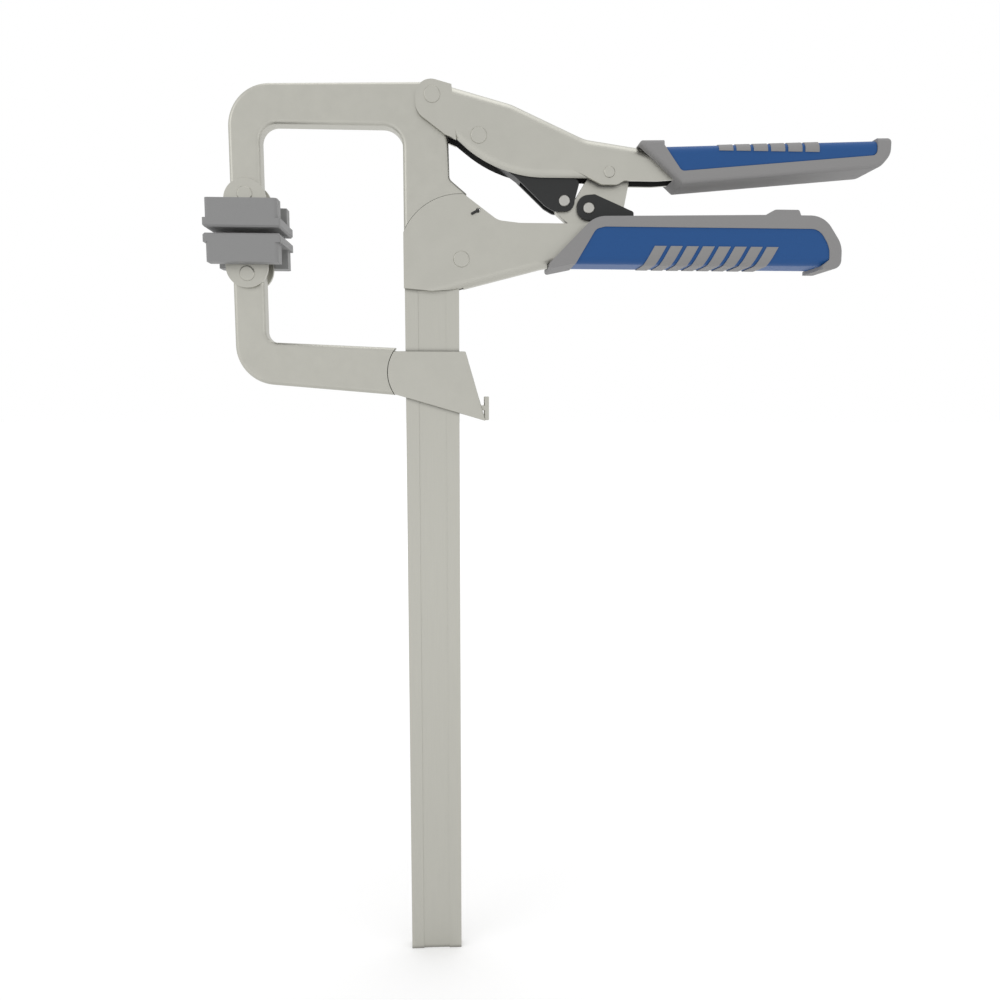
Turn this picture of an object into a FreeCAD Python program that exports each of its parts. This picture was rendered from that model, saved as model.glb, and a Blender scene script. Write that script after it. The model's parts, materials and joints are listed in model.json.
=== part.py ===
import FreeCAD, Part
import math
import os

import Sketcher

# Quick release bar clamp. Millimetres, +Z up along the bar, +X from the clamping pads towards the
# handles, +Y away from the viewer. The clamp is symmetric about the plane Y = 0.
# The origin is the centre of the upper pad's clamping face.

os.makedirs("parts", exist_ok=True)
doc = FreeCAD.newDocument("bar_clamp")

# Driving dimensions. Each is written once, and everything else is worked out from them.
SIZES = (
    ("throat", 70.6, "pad centre to the near edge of the bar"),
    ("bar_width", 25.0, "bar, across its wide face"),
    ("bar_thick", 6.0, "bar, through"),
    ("bar_below", 353.0, "bar end below the upper pad face"),
    ("flute_width", 13.0, "shallow groove down each face of the bar"),
    ("flute_deep", 0.5, "depth of that groove"),
    ("sheet", 2.0, "folded steel sheet of frame, collar and handle"),
    ("throat_run", 10.0, "short run beside a bend of the folded sheet"),
    ("lead_in", 6.0, "grip cavity ahead of the grip"),
    ("gap", 0.3, "clearance between pieces that move past each other"),
    ("side_play", 0.1, "clearance of a tongue between its two cheeks"),
    ("run_fit", 0.05, "radial clearance of a pin in its bore"),
    ("jaw_pivot_out", 1.1, "jaw pivot beyond the far edge of the bar"),
    ("jaw_pivot_drop", 11.5, "jaw pivot below the upper pad face"),
    ("handle_pivot_in", 13.2, "handle pivot from the near edge of the bar"),
    ("handle_pivot_rise", 59.6, "handle pivot above the upper pad face"),
    ("toggle_out", 80.2, "toggle pin from the handle pivot, along X"),
    ("toggle_drop", 32.2, "toggle pin below the handle pivot"),
    ("link_out", 64.0, "end of the toggle link from the toggle pin, along X"),
    ("link_drop", 25.2, "end of the toggle link below the toggle pin"),
    ("strut_back", 20.1, "strut pin from the toggle pin, back along X"),
    ("strut_drop", 12.4, "strut pin below the toggle pin"),
    ("trigger_back", 8.8, "release lever pin from the toggle pin, back along X"),
    ("trigger_drop", 15.5, "release lever pin below the toggle pin"),
    ("stop_out", 20.8, "strut guide pin from the handle pivot, along X"),
    ("stop_drop", 17.1, "strut guide pin below the handle pivot"),
    ("seam_over", 2.9, "round seam about the jaw pivot, past the near edge of the bar"),
    ("seam_play", 0.15, "clearance of that seam, which runs on the jaw pivot"),
    ("seam_tail", 1.2, "top end of the frame's round seam beyond the jaw pivot"),
    ("notch_drop", 2.4, "corner of the bar's relief below the upper pad face"),
    ("tongue_over", 7.8, "hidden corner of the jaw's tongue over the round seam"),
    ("tongue_rise", 3.0, "near corner of the jaw's tongue above the upper pad face"),
    ("eye_step", 0.9, "small step beside an eye or a nut"),
    ("eye_radius", 8.5, "eye of the jaw at its pivot"),
    ("boss_radius", 6.4, "boss of the jaw at the handle pivot"),
    ("arm_width", 14.0, "column of each jaw arm, along X"),
    ("arm_top", 63.6, "top of the upper arm at the column"),
    ("arm_inner", 46.6, "underside of the upper arm"),
    ("arm_bend", 19.0, "outer bend of the upper arm"),
    ("arm_inner_bend", 7.5, "inner bend of the upper arm at its column"),
    ("leg_bend", 9.0, "inner bend of the upper arm at its leg"),
    ("arm_round", 2.0, "rounding of the forged arms' edges"),
    ("low_arm_inner", 49.3, "top of the lower arm below the upper pad face"),
    ("low_arm_outer", 67.4, "underside of the lower arm at the column"),
    ("low_arm_fall", 2.5, "fall of the lower arm's top along its length"),
    ("low_arm_spread", 6.3, "fall of the lower arm's underside along its length"),
    ("low_arm_bend", 18.0, "outer bend of the lower arm"),
    ("low_inner_bend", 5.0, "inner bend of the lower arm"),
    ("pad_gap", 2.6, "opening between the pads as stored"),
    ("pad_length", 34.0, "pad base, along X"),
    ("pad_width", 31.0, "pad, along Y"),
    ("pad_base", 3.9, "thickness of the pad's base"),
    ("pad_high", 12.4, "height of the pad with its cheeks"),
    ("cheek_inset", 1.2, "pad cheek in from the end of the base"),
    ("pad_corner", 1.7, "rounding of the upright edges of the pad's cheeks"),
    ("base_corner", 1.0, "rounding of the upright edges of the pad's base"),
    ("pad_edge", 0.8, "chamfer round the clamping face"),
    ("pad_pin_up", 15.8, "upper pad pin above its clamping face"),
    ("low_pin_down", 16.3, "lower pad pin below its clamping face"),
    ("shoe_radius", 9.5, "round ears of the steel shoe"),
    ("shoe_centre", 13.2, "centre of the ears' round from the clamping face"),
    ("shoe_sheet", 1.7, "sheet of the shoe"),
    ("pad_pin_radius", 2.5, "pad pin shank"),
    ("pivot_radius", 3.0, "jaw and handle pivot shanks"),
    ("toggle_radius", 2.0, "toggle, strut and lever pin shanks"),
    ("head_big", 3.7, "rivet head on the main pivots"),
    ("head_mid", 3.4, "rivet head on the pad pins"),
    ("head_small", 2.6, "rivet head on the toggle, strut and lever pins"),
    ("head_high", 0.6, "height of a rivet head"),
    ("head_chamfer", 0.4, "chamfer of a rivet head"),
    ("frame_edge", 0.3, "frame beyond the near edge of the bar"),
    ("frame_low", 24.7, "lower edge of the frame below the upper pad face"),
    ("frame_belly", 1.1, "bulge of that edge at the bar's middle"),
    ("frame_fold_in", 2.0, "start of the closed fold beyond the bar"),
    ("frame_neck_out", 38.0, "end of the sloping neck beyond the bar"),
    ("frame_neck_low", 15.3, "fold at the end of the neck"),
    ("frame_tail_out", 56.0, "start of the straight tail beyond the bar"),
    ("frame_tail_low", 12.4, "fold along the tail"),
    ("frame_tail_top", 4.9, "open top edge of the channel"),
    ("frame_throat_out", 17.8, "foot of the slope beyond the bar"),
    ("frame_throat_up", 6.0, "height of that foot"),
    ("slope_top_in", 4.1, "top of the slope, back from the bar's far edge"),
    ("slope_top_over", 6.5, "height of the top of the slope over the round seam"),
    ("tail_length", 167.0, "frame tail beyond the bar"),
    ("fold_round", 4.0, "outside bend of the folded sheet"),
    ("handle_fold", 5.0, "outside bend of the upper handle's sheet"),
    ("ear_radius", 7.4, "upper handle round its pivot"),
    ("web_start", 8.7, "start of the channel's top web from the pivot"),
    ("ear_top", 8.6, "corner over the handle pivot"),
    ("hump_out", 35.6, "bend of the handle's top, from the pivot"),
    ("hump_drop", 2.6, "that bend below the pivot"),
    ("waist_out", 69.2, "end of the slope of the handle's top, from the pivot"),
    ("waist_drop", 17.2, "that point below the pivot"),
    ("handle_neck_out", 92.2, "front of the grip from the pivot"),
    ("handle_neck_drop", 20.4, "top of the channel there, below the pivot"),
    ("neck_dip", 1.5, "fall of the top just inside the grip"),
    ("handle_tail_out", 186.0, "end of the upper channel from the pivot"),
    ("handle_tail_drop", 20.6, "top of the channel at its end, below the pivot"),
    ("handle_tail_deep", 28.6, "lower edge of the channel at its end"),
    ("wall_neck_drop", 35.8, "lower edge of the wall at the grip"),
    ("wall_waist_drop", 36.0, "lower edge of the wall before the toggle pin"),
    ("wall_belly_out", 30.7, "corner of that edge, from the pivot"),
    ("wall_belly_round", 58.0, "wide rounding of that corner"),
    ("wall_chin_out", 5.7, "front lower corner of the wall, from the pivot"),
    ("wall_chin_drop", 17.0, "that corner below the pivot"),
    ("lobe_half", 7.0, "half the lobe of the wall under the toggle pin"),
    ("lobe_deep", 5.5, "lobe below the toggle pin"),
    ("link_half", 2.6, "half the thickness of the toggle link"),
    ("link_eye", 5.1, "eye of the toggle link at the toggle pin"),
    ("link_end", 4.6, "rounded end of the toggle link"),
    ("link_lobe", 4.4, "lobe of the toggle link at the strut pin"),
    ("link_leg_out", 6.6, "far edge of the link's upright leg from the toggle pin"),
    ("shoulder_out", 10.0, "shoulder over that edge, from the toggle pin"),
    ("link_leg_in", 14.8, "near edge of that leg from the toggle pin"),
    ("link_elbow_drop", 21.2, "inner elbow of the link below the toggle pin"),
    ("link_foot_drop", 33.2, "bottom of the link below the toggle pin"),
    ("fork_inner", 0.3, "clearance of the black forks beside the link"),
    ("fork_sheet", 1.7, "thickness of each cheek of the forks"),
    ("strut_eye", 4.7, "eye of the strut at its pin"),
    ("strut_arm", 4.6, "half width of the strut's arm"),
    ("strut_tail", 49.5, "length of the strut beyond its pin"),
    ("strut_flare", 18.8, "start of the strut's narrow arm, upper side"),
    ("strut_flare_low", 23.5, "start of the strut's narrow arm, lower side"),
    ("strut_mouth", 21.2, "depth of the strut's fork"),
    ("strut_shoulder", 7.1, "strut's shoulder beyond its pin"),
    ("strut_shoulder_up", 9.2, "strut's shoulder above its pin"),
    ("strut_heel", 8.9, "strut's heel before its pin"),
    ("slot_near", 35.4, "near end of the strut's slot from its pin"),
    ("slot_far", 50.6, "far end of the strut's slot from its pin"),
    ("slot_half", 3.4, "half width of the strut's slot"),
    ("trigger_eye", 5.4, "eye of the release lever at its pin"),
    ("trigger_top", 6.2, "upper corner of the release lever above its pin"),
    ("trigger_reach", 20.8, "tip of the release lever from its pin"),
    ("trigger_tip_high", 1.4, "top of the tip below the pin"),
    ("trigger_tip_low", 4.2, "underside of the tip below the pin"),
    ("trigger_web", 3.4, "web of the release lever behind the link's leg"),
    ("nose_gap", 2.0, "toggle link's end to the adjusting screw, at rest"),
    ("screw_radius", 2.6, "adjusting screw"),
    ("screw_tail", 11.2, "screw beyond its wheel"),
    ("wheel_radius", 8.3, "adjusting wheel"),
    ("wheel_long", 9.0, "adjusting wheel, along the handle"),
    ("wheel_start", 13.0, "adjusting wheel from the toggle link's end centre"),
    ("nut_long", 8.0, "nut of the adjusting screw, along the handle"),
    ("knurl_radius", 0.45, "grooves of the wheel"),
    ("knurl_count", 24.0, "number of grooves"),
    ("grip_half", 12.0, "half the width of the grips' grey rim"),
    ("panel_half", 11.6, "half the width of the grips' blue core"),
    ("low_grip_front", 41.0, "front lip of the lower grip beyond the bar"),
    ("low_grip_low", 16.3, "lowest point of the front lip"),
    ("low_grip_base", 13.8, "bottom of the lower grip"),
    ("low_lip_lean", 20.4, "slanted front lip, along the handle"),
    ("low_heel_drop", 15.4, "underside of the rim's heel"),
    ("low_heel_long", 11.0, "heel of the rim, along the handle"),
    ("low_rear_slope", 8.9, "slope of the rim's rear end, along the handle"),
    ("low_rear_drop", 4.6, "foot of that slope below the upper pad face"),
    ("rear_round", 12.0, "rounding of the grips' rear ends"),
    ("low_grip_high", 7.0, "top of the lower grip at its front"),
    ("low_grip_rise", 1.4, "rise of that top towards the rear"),
    ("low_grip_end", 175.8, "rear of the lower grip beyond the bar"),
    ("low_panel_front", 53.0, "front of the lower blue core beyond the bar"),
    ("low_panel_end", 170.2, "rear of the lower blue core beyond the bar"),
    ("low_panel_high", 2.5, "top of the lower blue core"),
    ("low_panel_lean", 9.0, "slanted front of the blue core, along the handle"),
    ("low_panel_lead", 13.2, "start of its straight top from its front"),
    ("low_panel_slope", 5.3, "slope of its rear end, along the handle"),
    ("low_panel_drop", 5.5, "foot of that slope below the upper pad face"),
    ("low_panel_heel", 11.2, "start of its lower rear bevel below the upper pad face"),
    ("low_panel_bevel", 2.9, "that bevel, along the handle"),
    ("guard_high", 2.4, "guards beside the adjusting wheel, above the grip"),
    ("guard_long", 14.2, "guards, along the handle"),
    ("up_grip_front", 91.4, "front of the upper grip from the handle pivot"),
    ("up_grip_end", 208.8, "rear of the upper grip from the handle pivot"),
    ("up_grip_top", 19.2, "top of the upper grip at its front, below the pivot"),
    ("up_grip_rear_top", 16.4, "top of the upper grip at its rear, below the pivot"),
    ("up_grip_base", 38.2, "underside at the front, below the pivot"),
    ("up_grip_rear_base", 29.6, "underside at the rear, below the pivot"),
    ("up_lip_long", 21.6, "lower front corner of the rim behind its upper one"),
    ("up_rear_drop", 23.6, "start of the rounded rear end below the pivot"),
    ("up_rear_bevel", 4.8, "that rounded end, along the handle"),
    ("up_rear_round", 7.0, "roundings of that end"),
    ("lip_round", 1.2, "rounding of the grip's front lip"),
    ("up_panel_inset", 2.1, "upper blue core below the rim's top"),
    ("up_panel_rear_inset", 0.9, "the same at its rear"),
    ("up_panel_front", 104.1, "front of the upper blue core from the pivot"),
    ("up_panel_end", 202.0, "rear of the upper blue core from the pivot"),
    ("up_panel_base", 32.5, "lower edge of the blue core at its front"),
    ("up_panel_rear_base", 24.3, "lower edge of the blue core at its rear"),
    ("up_panel_lean", 8.1, "slanted front of the upper blue core"),
    ("panel_round", 2.5, "rounded corners of the upper blue core"),
    ("grip_round", 4.0, "long rounded edges of the grips"),
    ("collar_top", 53.2, "top of the collar below the upper pad face"),
    ("collar_left", 5.3, "collar's corners from the bar, towards the pads"),
    ("collar_wrap", 18.1, "radius of the collar's curved edge"),
    ("collar_wrap_deep", 3.2, "bulge of that edge"),
    ("collar_left_low", 73.0, "lower left corner of the collar"),
    ("collar_right", 2.9, "collar's top right corner beyond the bar"),
    ("collar_right_low", 12.2, "collar's lower right corner beyond the bar"),
    ("collar_low", 85.4, "lowest corner of the collar"),
    ("web_short", 8.2, "end of the collar's web above its lowest corner"),
    ("lock_thick", 2.3, "locking plate, through its sheet"),
    ("lock_head_drop", 11.4, "head of the locking plate below the collar's top"),
    ("lock_tab_out", 11.6, "outer tab beyond the bar"),
    ("lock_swing", 1.0, "room for the locking plate's leg under the web"),
    ("lock_tab_high", 11.4, "outer tab of the locking plate"),
    ("lock_tooth", 0.3, "locking plate to the bar, as stored"),
    ("wire", 1.1, "spring wire"),
    ("spring_loop", 5.2, "loop of the return spring round the jaw pivot"),
    ("hook_lie_out", 3.1, "end of the wire bent over the cheek, along X"),
    ("hook_lie_drop", 1.7, "fall of that end"),
    ("tongue_leg_rise", 14.7, "end of the spring's other leg above the jaw pivot"),
    ("hook_out", 7.7, "hook of the return spring from the jaw pivot, along X"),
    ("hook_rise", 21.7, "hook of the return spring above the jaw pivot"),
    ("eye_thin", 2.6, "jaw's eye beside the spring, through"),
    ("leaf", 0.5, "leaf spring, through"),
)

sheet = doc.addObject("Spreadsheet::Sheet", "Sizes")
for row, (alias, number, meaning) in enumerate(SIZES, start=1):
    sheet.set(f"A{row}", meaning)
    sheet.set(f"B{row}", f"{number:g}")
    sheet.setAlias(f"B{row}", alias)
doc.recompute()


class Size:
    """A length in millimetres, with the sheet expression that it is worked out by."""

    def __init__(self, value, text):
        self.value = float(value)
        self.text = text

    def __add__(self, other):
        other = size(other)
        return Size(self.value + other.value, f"({self.text} + {other.text})")

    def __sub__(self, other):
        other = size(other)
        return Size(self.value - other.value, f"({self.text} - {other.text})")

    def __mul__(self, other):
        other = size(other)
        return Size(self.value * other.value, f"({self.text} * {other.text})")

    def __truediv__(self, other):
        other = size(other)
        return Size(self.value / other.value, f"({self.text} / {other.text})")

    def __neg__(self):
        return Size(-self.value, f"(0 - {self.text})")

    def root(self):
        return Size(math.sqrt(self.value), f"sqrt({self.text})")


def size(number):
    return number if isinstance(number, Size) else Size(number, f"({number:g})")


class Driving:
    """The sheet's sizes by name."""

    def __getattr__(self, alias):
        return Size(float(sheet.get(alias)), f"Sizes.{alias}")


s = Driving()
NONE = size(0)
PAST = size(60)
# Edges are picked by where they lie: on the spot, nearly there, or within reach (mm).
NEAR = 0.01
SLACK = 0.1
REACH = 0.5
# Below this a number counts as nothing.
TINY = 1e-6
FULL_TURN = 360


def reach(x, z):
    """Length of the line from the origin to a point."""
    return (x * x + z * z).root()


def origin_plane(body, role):
    for feature in body.Origin.OriginFeatures:
        if feature.Role == role:
            return feature
    raise RuntimeError(f"{body.Name} has no {role}")


class Arc:
    """Put between two corners of an outline: the edge between them is round this centre.
    The corner after it keeps its place along one axis and finds the other on the circle."""

    def __init__(self, x, z, keep="x", turn="left"):
        self.x = x
        self.z = z
        self.keep = keep
        self.turn = turn


def new_body(name):
    body = doc.addObject("PartDesign::Body", name)
    body.Label = name
    return body


def new_sketch(body, plane, name):
    sketch = body.newObject("Sketcher::SketchObject", f"{body.Name}_{name}")
    sketch.AttachmentSupport = [(origin_plane(body, plane), "")]
    sketch.MapMode = "FlatFace"
    return sketch


def pin_down(sketch, edge, end, x, z, keep="xz"):
    """Ties one point of a sketch to the sheet."""
    if "x" in keep:
        index = sketch.addConstraint(Sketcher.Constraint("DistanceX", -1, 1, edge, end, x.value))
        sketch.setExpression(f"Constraints[{index}]", x.text)
    if "z" in keep:
        index = sketch.addConstraint(Sketcher.Constraint("DistanceY", -1, 1, edge, end, z.value))
        sketch.setExpression(f"Constraints[{index}]", z.text)


def outline(body, plane, name, items):
    """A closed outline of straight and round edges, each corner tied to the sheet."""
    sketch = new_sketch(body, plane, name)
    corners = []
    arcs = {}
    for item in items:
        if isinstance(item, Arc):
            arcs[len(corners) - 1] = item
        else:
            corners.append(item)
    count = len(corners)
    ends = []
    for index in range(count):
        first = corners[index]
        last = corners[(index + 1) % count]
        start = FreeCAD.Vector(first[0].value, first[1].value, 0)
        stop = FreeCAD.Vector(last[0].value, last[1].value, 0)
        arc = arcs.get(index)
        if arc is None:
            edge = sketch.addGeometry(Part.LineSegment(start, stop), False)
            ends.append((edge, 1, 2))
            continue
        centre = FreeCAD.Vector(arc.x.value, arc.z.value, 0)
        radius = (start - centre).Length
        circle = Part.Circle(centre, FreeCAD.Vector(0, 0, 1), radius)
        a = math.atan2(start.y - centre.y, start.x - centre.x)
        b = math.atan2(stop.y - centre.y, stop.x - centre.x)
        if arc.turn == "left":
            edge = sketch.addGeometry(Part.ArcOfCircle(circle, a, b), False)
            ends.append((edge, 1, 2))
        else:
            edge = sketch.addGeometry(Part.ArcOfCircle(circle, b, a), False)
            ends.append((edge, 2, 1))
    for index in range(count):
        edge, _, stop = ends[index]
        after, start, _ = ends[(index + 1) % count]
        sketch.addConstraint(Sketcher.Constraint("Coincident", edge, stop, after, start))
    for index in range(count):
        edge, start, _ = ends[index]
        before = arcs.get((index - 1) % count)
        keep = "xz" if before is None else before.keep
        pin_down(sketch, edge, start, corners[index][0], corners[index][1], keep)
        if index in arcs:
            pin_down(sketch, edge, 3, arcs[index].x, arcs[index].z)
    return sketch


def symmetric(feature, half):
    feature.SideType = "Symmetric"
    feature.setExpression("Length", (half * 2).text)


def add_plate(body, name, items, half):
    """A plate of this outline, seen along Y, as far each side of the middle plane."""
    sketch = outline(body, "XZ_Plane", f"{name}_outline", items)
    pad = body.newObject("PartDesign::Pad", f"{body.Name}_{name}")
    pad.Profile = sketch
    symmetric(pad, half)
    doc.recompute()
    return pad


def cut_plate(body, name, items, half):
    """Takes a plate of this outline away."""
    before = body.Shape.Volume
    sketch = outline(body, "XZ_Plane", f"{name}_outline", items)
    pocket = body.newObject("PartDesign::Pocket", f"{body.Name}_{name}")
    pocket.Profile = sketch
    symmetric(pocket, half)
    doc.recompute()
    if not body.Shape.Volume < before:
        raise RuntimeError(f"{pocket.Name} cuts nothing")
    return pocket


def cut_bore(body, name, x, z, radius, half):
    """A round bore along Y."""
    before = body.Shape.Volume
    sketch = new_sketch(body, "XZ_Plane", f"{name}_circle")
    centre = FreeCAD.Vector(x.value, z.value, 0)
    circle = Part.Circle(centre, FreeCAD.Vector(0, 0, 1), radius.value)
    sketch.addGeometry(circle, False)
    pin_down(sketch, 0, 3, x, z)
    index = sketch.addConstraint(Sketcher.Constraint("Radius", 0, radius.value))
    sketch.setExpression(f"Constraints[{index}]", radius.text)
    pocket = body.newObject("PartDesign::Pocket", f"{body.Name}_{name}")
    pocket.Profile = sketch
    symmetric(pocket, half)
    doc.recompute()
    if not body.Shape.Volume < before:
        raise RuntimeError(f"{pocket.Name} cuts nothing")
    return pocket


def round_edges(body, name, radius, wanted):
    """Rounds the edges for which wanted(edge) is true."""
    shape = body.Shape
    names = [f"Edge{i}" for i, edge in enumerate(shape.Edges, start=1) if wanted(edge)]
    if not names:
        raise RuntimeError(f"{body.Name} has no edge for {name}")
    base = body.Tip
    fillet = body.newObject("PartDesign::Fillet", f"{body.Name}_{name}")
    fillet.Base = (base, names)
    fillet.setExpression("Radius", radius.text)
    doc.recompute()
    return fillet


def chamfer_edges(body, name, length, wanted):
    shape = body.Shape
    names = [f"Edge{i}" for i, edge in enumerate(shape.Edges, start=1) if wanted(edge)]
    if not names:
        raise RuntimeError(f"{body.Name} has no edge for {name}")
    base = body.Tip
    chamfer = body.newObject("PartDesign::Chamfer", f"{body.Name}_{name}")
    chamfer.Base = (base, names)
    chamfer.setExpression("Size", length.text)
    doc.recompute()
    return chamfer


def straight_along(edge, axis):
    """True for a straight edge parallel to this axis."""
    if not isinstance(edge.Curve, Part.Line):
        return False
    direction = edge.tangentAt(edge.FirstParameter)
    return abs(abs(direction.dot(axis)) - 1) < TINY


ALONG_Y = FreeCAD.Vector(0, 1, 0)
ALONG_Z = FreeCAD.Vector(0, 0, 1)


def round_corners(body, name, items):
    """Rounds the corners of a plate by the radius that its outline gives."""
    groups = {}
    for item in items:
        if isinstance(item, Arc) or len(item) < 3:
            continue
        groups.setdefault(item[2].text, (item[2], []))[1].append(item)
    for number, (radius, corners) in enumerate(groups.values(), start=1):

        def wanted(edge):
            if not straight_along(edge, ALONG_Y):
                return False
            place = edge.Vertexes[0].Point
            for corner in corners:
                if abs(place.x - corner[0].value) < NEAR and abs(place.z - corner[1].value) < NEAR:
                    return True
            return False

        round_edges(body, f"{name}{number}", radius, wanted)


def plate(name, items, half):
    """A body that starts as a plate with rounded corners."""
    body = new_body(name)
    add_plate(body, "plate", items, half)
    round_corners(body, "corner", items)
    return body


def turned(name, profile, along, x, z):
    """A turned piece: the profile is (radius, place along the axis), the axis passes (x, z)."""
    body = new_body(name)
    if along == "y":
        sketch = outline(body, "XY_Plane", "profile", profile)
    else:
        sketch = outline(body, "XY_Plane", "profile", [(place, radius) for radius, place in profile])
    turn = body.newObject("PartDesign::Revolution", f"{name}_turn")
    turn.Profile = sketch
    turn.ReferenceAxis = (sketch, ["V_Axis" if along == "y" else "H_Axis"])
    turn.Angle = FULL_TURN
    body.setExpression("Placement.Base.x", x.text)
    body.setExpression("Placement.Base.z", z.text)
    doc.recompute()
    return body


def rivet(name, x, z, shank, head, face):
    """A riveted pin: its shank between the two outer faces, and a low head on each."""
    end = face + s.head_high
    bevel = s.head_chamfer
    profile = [
        (NONE, -end),
        (head - bevel, -end),
        (head, -end + bevel),
        (head, -face),
        (shank, -face),
        (shank, face),
        (head, face),
        (head, end - bevel),
        (head - bevel, end),
        (NONE, end),
    ]
    return turned(name, profile, "y", x, z)


# Places that several pieces share.
half_bar = s.bar_thick / 2
half_body = half_bar + s.sheet
half_tongue = half_bar - s.side_play
# The upper handle and the pads' shoes straddle the jaw arms alike.
half_handle = half_body + s.gap + s.shoe_sheet
bar_near = s.throat
bar_far = s.throat + s.bar_width
jaw_x = bar_far + s.jaw_pivot_out
jaw_z = -s.jaw_pivot_drop
seam_radius = s.bar_width + s.jaw_pivot_out + s.seam_over
slope_top_up = jaw_z + seam_radius + s.slope_top_over
handle_x = bar_near + s.handle_pivot_in
handle_z = s.handle_pivot_rise
toggle_x = handle_x + s.toggle_out
toggle_z = handle_z - s.toggle_drop
end_x = toggle_x + s.link_out
end_z = toggle_z - s.link_drop
strut_x = toggle_x - s.strut_back
strut_z = toggle_z - s.strut_drop
trigger_x = toggle_x - s.trigger_back
trigger_z = toggle_z - s.trigger_drop
stop_x = handle_x + s.stop_out
stop_z = handle_z - s.stop_drop
low_face = -s.pad_gap
half_arm = s.arm_width / 2
relief = s.eye_radius + s.gap * 2


def on_slope(x):
    """Height of the sloping upper edge that jaw and frame share."""
    top_x = bar_far - s.slope_top_in
    foot_x = bar_far + s.frame_throat_out
    fall = (slope_top_up - s.frame_throat_up) / (foot_x - top_x)
    return slope_top_up - (x - top_x) * fall


def make_bar():
    relief_x = jaw_x - relief
    items = [
        (bar_near, -s.bar_below),
        (bar_near, -s.notch_drop),
        (relief_x, jaw_z - s.seam_tail),
        (relief_x, jaw_z - relief, relief / 2),
        (bar_far, jaw_z - relief),
        (bar_far, -s.bar_below),
    ]
    body = plate("bar", items, half_bar)
    middle = (bar_near + bar_far) / 2
    left = middle - s.flute_width / 2
    right = middle + s.flute_width / 2
    end = -s.bar_below - s.gap
    top = -s.frame_low - s.frame_belly
    core = half_bar - s.flute_deep
    for side, name in ((1, "front"), (-1, "back")):
        sketch = outline(body, "XY_Plane", f"flute_{name}_outline", [
            (left, core * side),
            (right, core * side),
            (right, (half_bar + s.gap) * side),
            (left, (half_bar + s.gap) * side),
        ])
        sketch.AttachmentOffset = FreeCAD.Placement(FreeCAD.Vector(0, 0, end.value), FreeCAD.Rotation())
        sketch.setExpression("AttachmentOffset.Base.z", end.text)
        before = body.Shape.Volume
        flute = body.newObject("PartDesign::Pocket", f"bar_flute_{name}")
        flute.Profile = sketch
        flute.Reversed = True
        flute.setExpression("Length", (top - end).text)
        doc.recompute()
        if not body.Shape.Volume < before:
            raise RuntimeError("the flute cuts nothing")
    return body


def seam_height(x, radius):
    """Height on a circle round the jaw pivot."""
    run = x - jaw_x
    return jaw_z + (radius * radius - run * run).root()


def make_upper_arm():
    """Forged C arm and leg, with the thinner tongue that turns between the frame's cheeks."""
    top = handle_z + s.boss_radius
    leg_x = bar_near - s.side_play
    foot = jaw_z + s.eye_radius
    boss_edge = handle_x + s.boss_radius
    eye_low = s.pad_pin_up - half_arm
    items = [
        (-half_arm, eye_low, half_arm - s.gap * 2),
        (half_arm, eye_low, half_arm - s.gap * 2),
        (half_arm, s.arm_inner, s.arm_inner_bend),
        (leg_x, s.arm_inner, s.leg_bend),
        (leg_x, foot),
        (jaw_x, foot),
        (jaw_x + s.notch_drop, on_slope(jaw_x + s.notch_drop)),
        (bar_far - s.slope_top_in, slope_top_up, s.leg_bend / 3),
        (boss_edge, top, s.boss_radius - s.side_play),
        (-half_arm, s.arm_top, s.arm_bend),
    ]
    body = plate("upper_jaw_arm", items, half_body)
    cut_bore(body, "seam", jaw_x, jaw_z, seam_radius, PAST)

    def outer_edge(edge):
        """Edges of the two faces, but for the seam that meets the frame."""
        box = edge.BoundBox
        if abs(abs(box.YMin) - half_body.value) > NEAR or box.YLength > NEAR:
            return False
        middle = edge.valueAt((edge.FirstParameter + edge.LastParameter) / 2)
        away = math.hypot(middle.x - jaw_x.value, middle.z - jaw_z.value)
        at_boss = math.hypot(middle.x - handle_x.value, middle.z - handle_z.value) < s.ear_radius.value * 2
        return away > seam_radius.value + 1 and not at_boss

    round_edges(body, "soft_edges", s.arm_round, outer_edge)
    tongue = [
        (bar_near + s.sheet, seam_height(bar_near + s.sheet, seam_radius) + s.tongue_over),
        (bar_far - s.sheet, on_slope(bar_far - s.sheet) - s.sheet),
        (jaw_x + s.sheet, on_slope(jaw_x + s.sheet) - s.sheet),
        (jaw_x + s.eye_radius, jaw_z),
        (jaw_x + s.eye_radius, jaw_z - s.eye_radius, s.eye_radius - s.side_play),
        (jaw_x - s.eye_radius, jaw_z - s.eye_radius, s.eye_radius - s.side_play),
        (jaw_x - s.eye_radius, jaw_z + s.eye_step),
        (bar_near + s.sheet, s.tongue_rise),
    ]
    add_plate(body, "tongue", tongue, half_tongue)
    round_corners(body, "tongue_corner", tongue)
    cut_bore(body, "jaw_bore", jaw_x, jaw_z, s.pivot_radius + s.run_fit, PAST)
    cut_bore(body, "handle_bore", handle_x, handle_z, s.pivot_radius + s.run_fit, PAST)
    cut_bore(body, "pad_bore", NONE, s.pad_pin_up, s.pad_pin_radius + s.run_fit, PAST)
    thin_eye(body)
    return body


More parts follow.
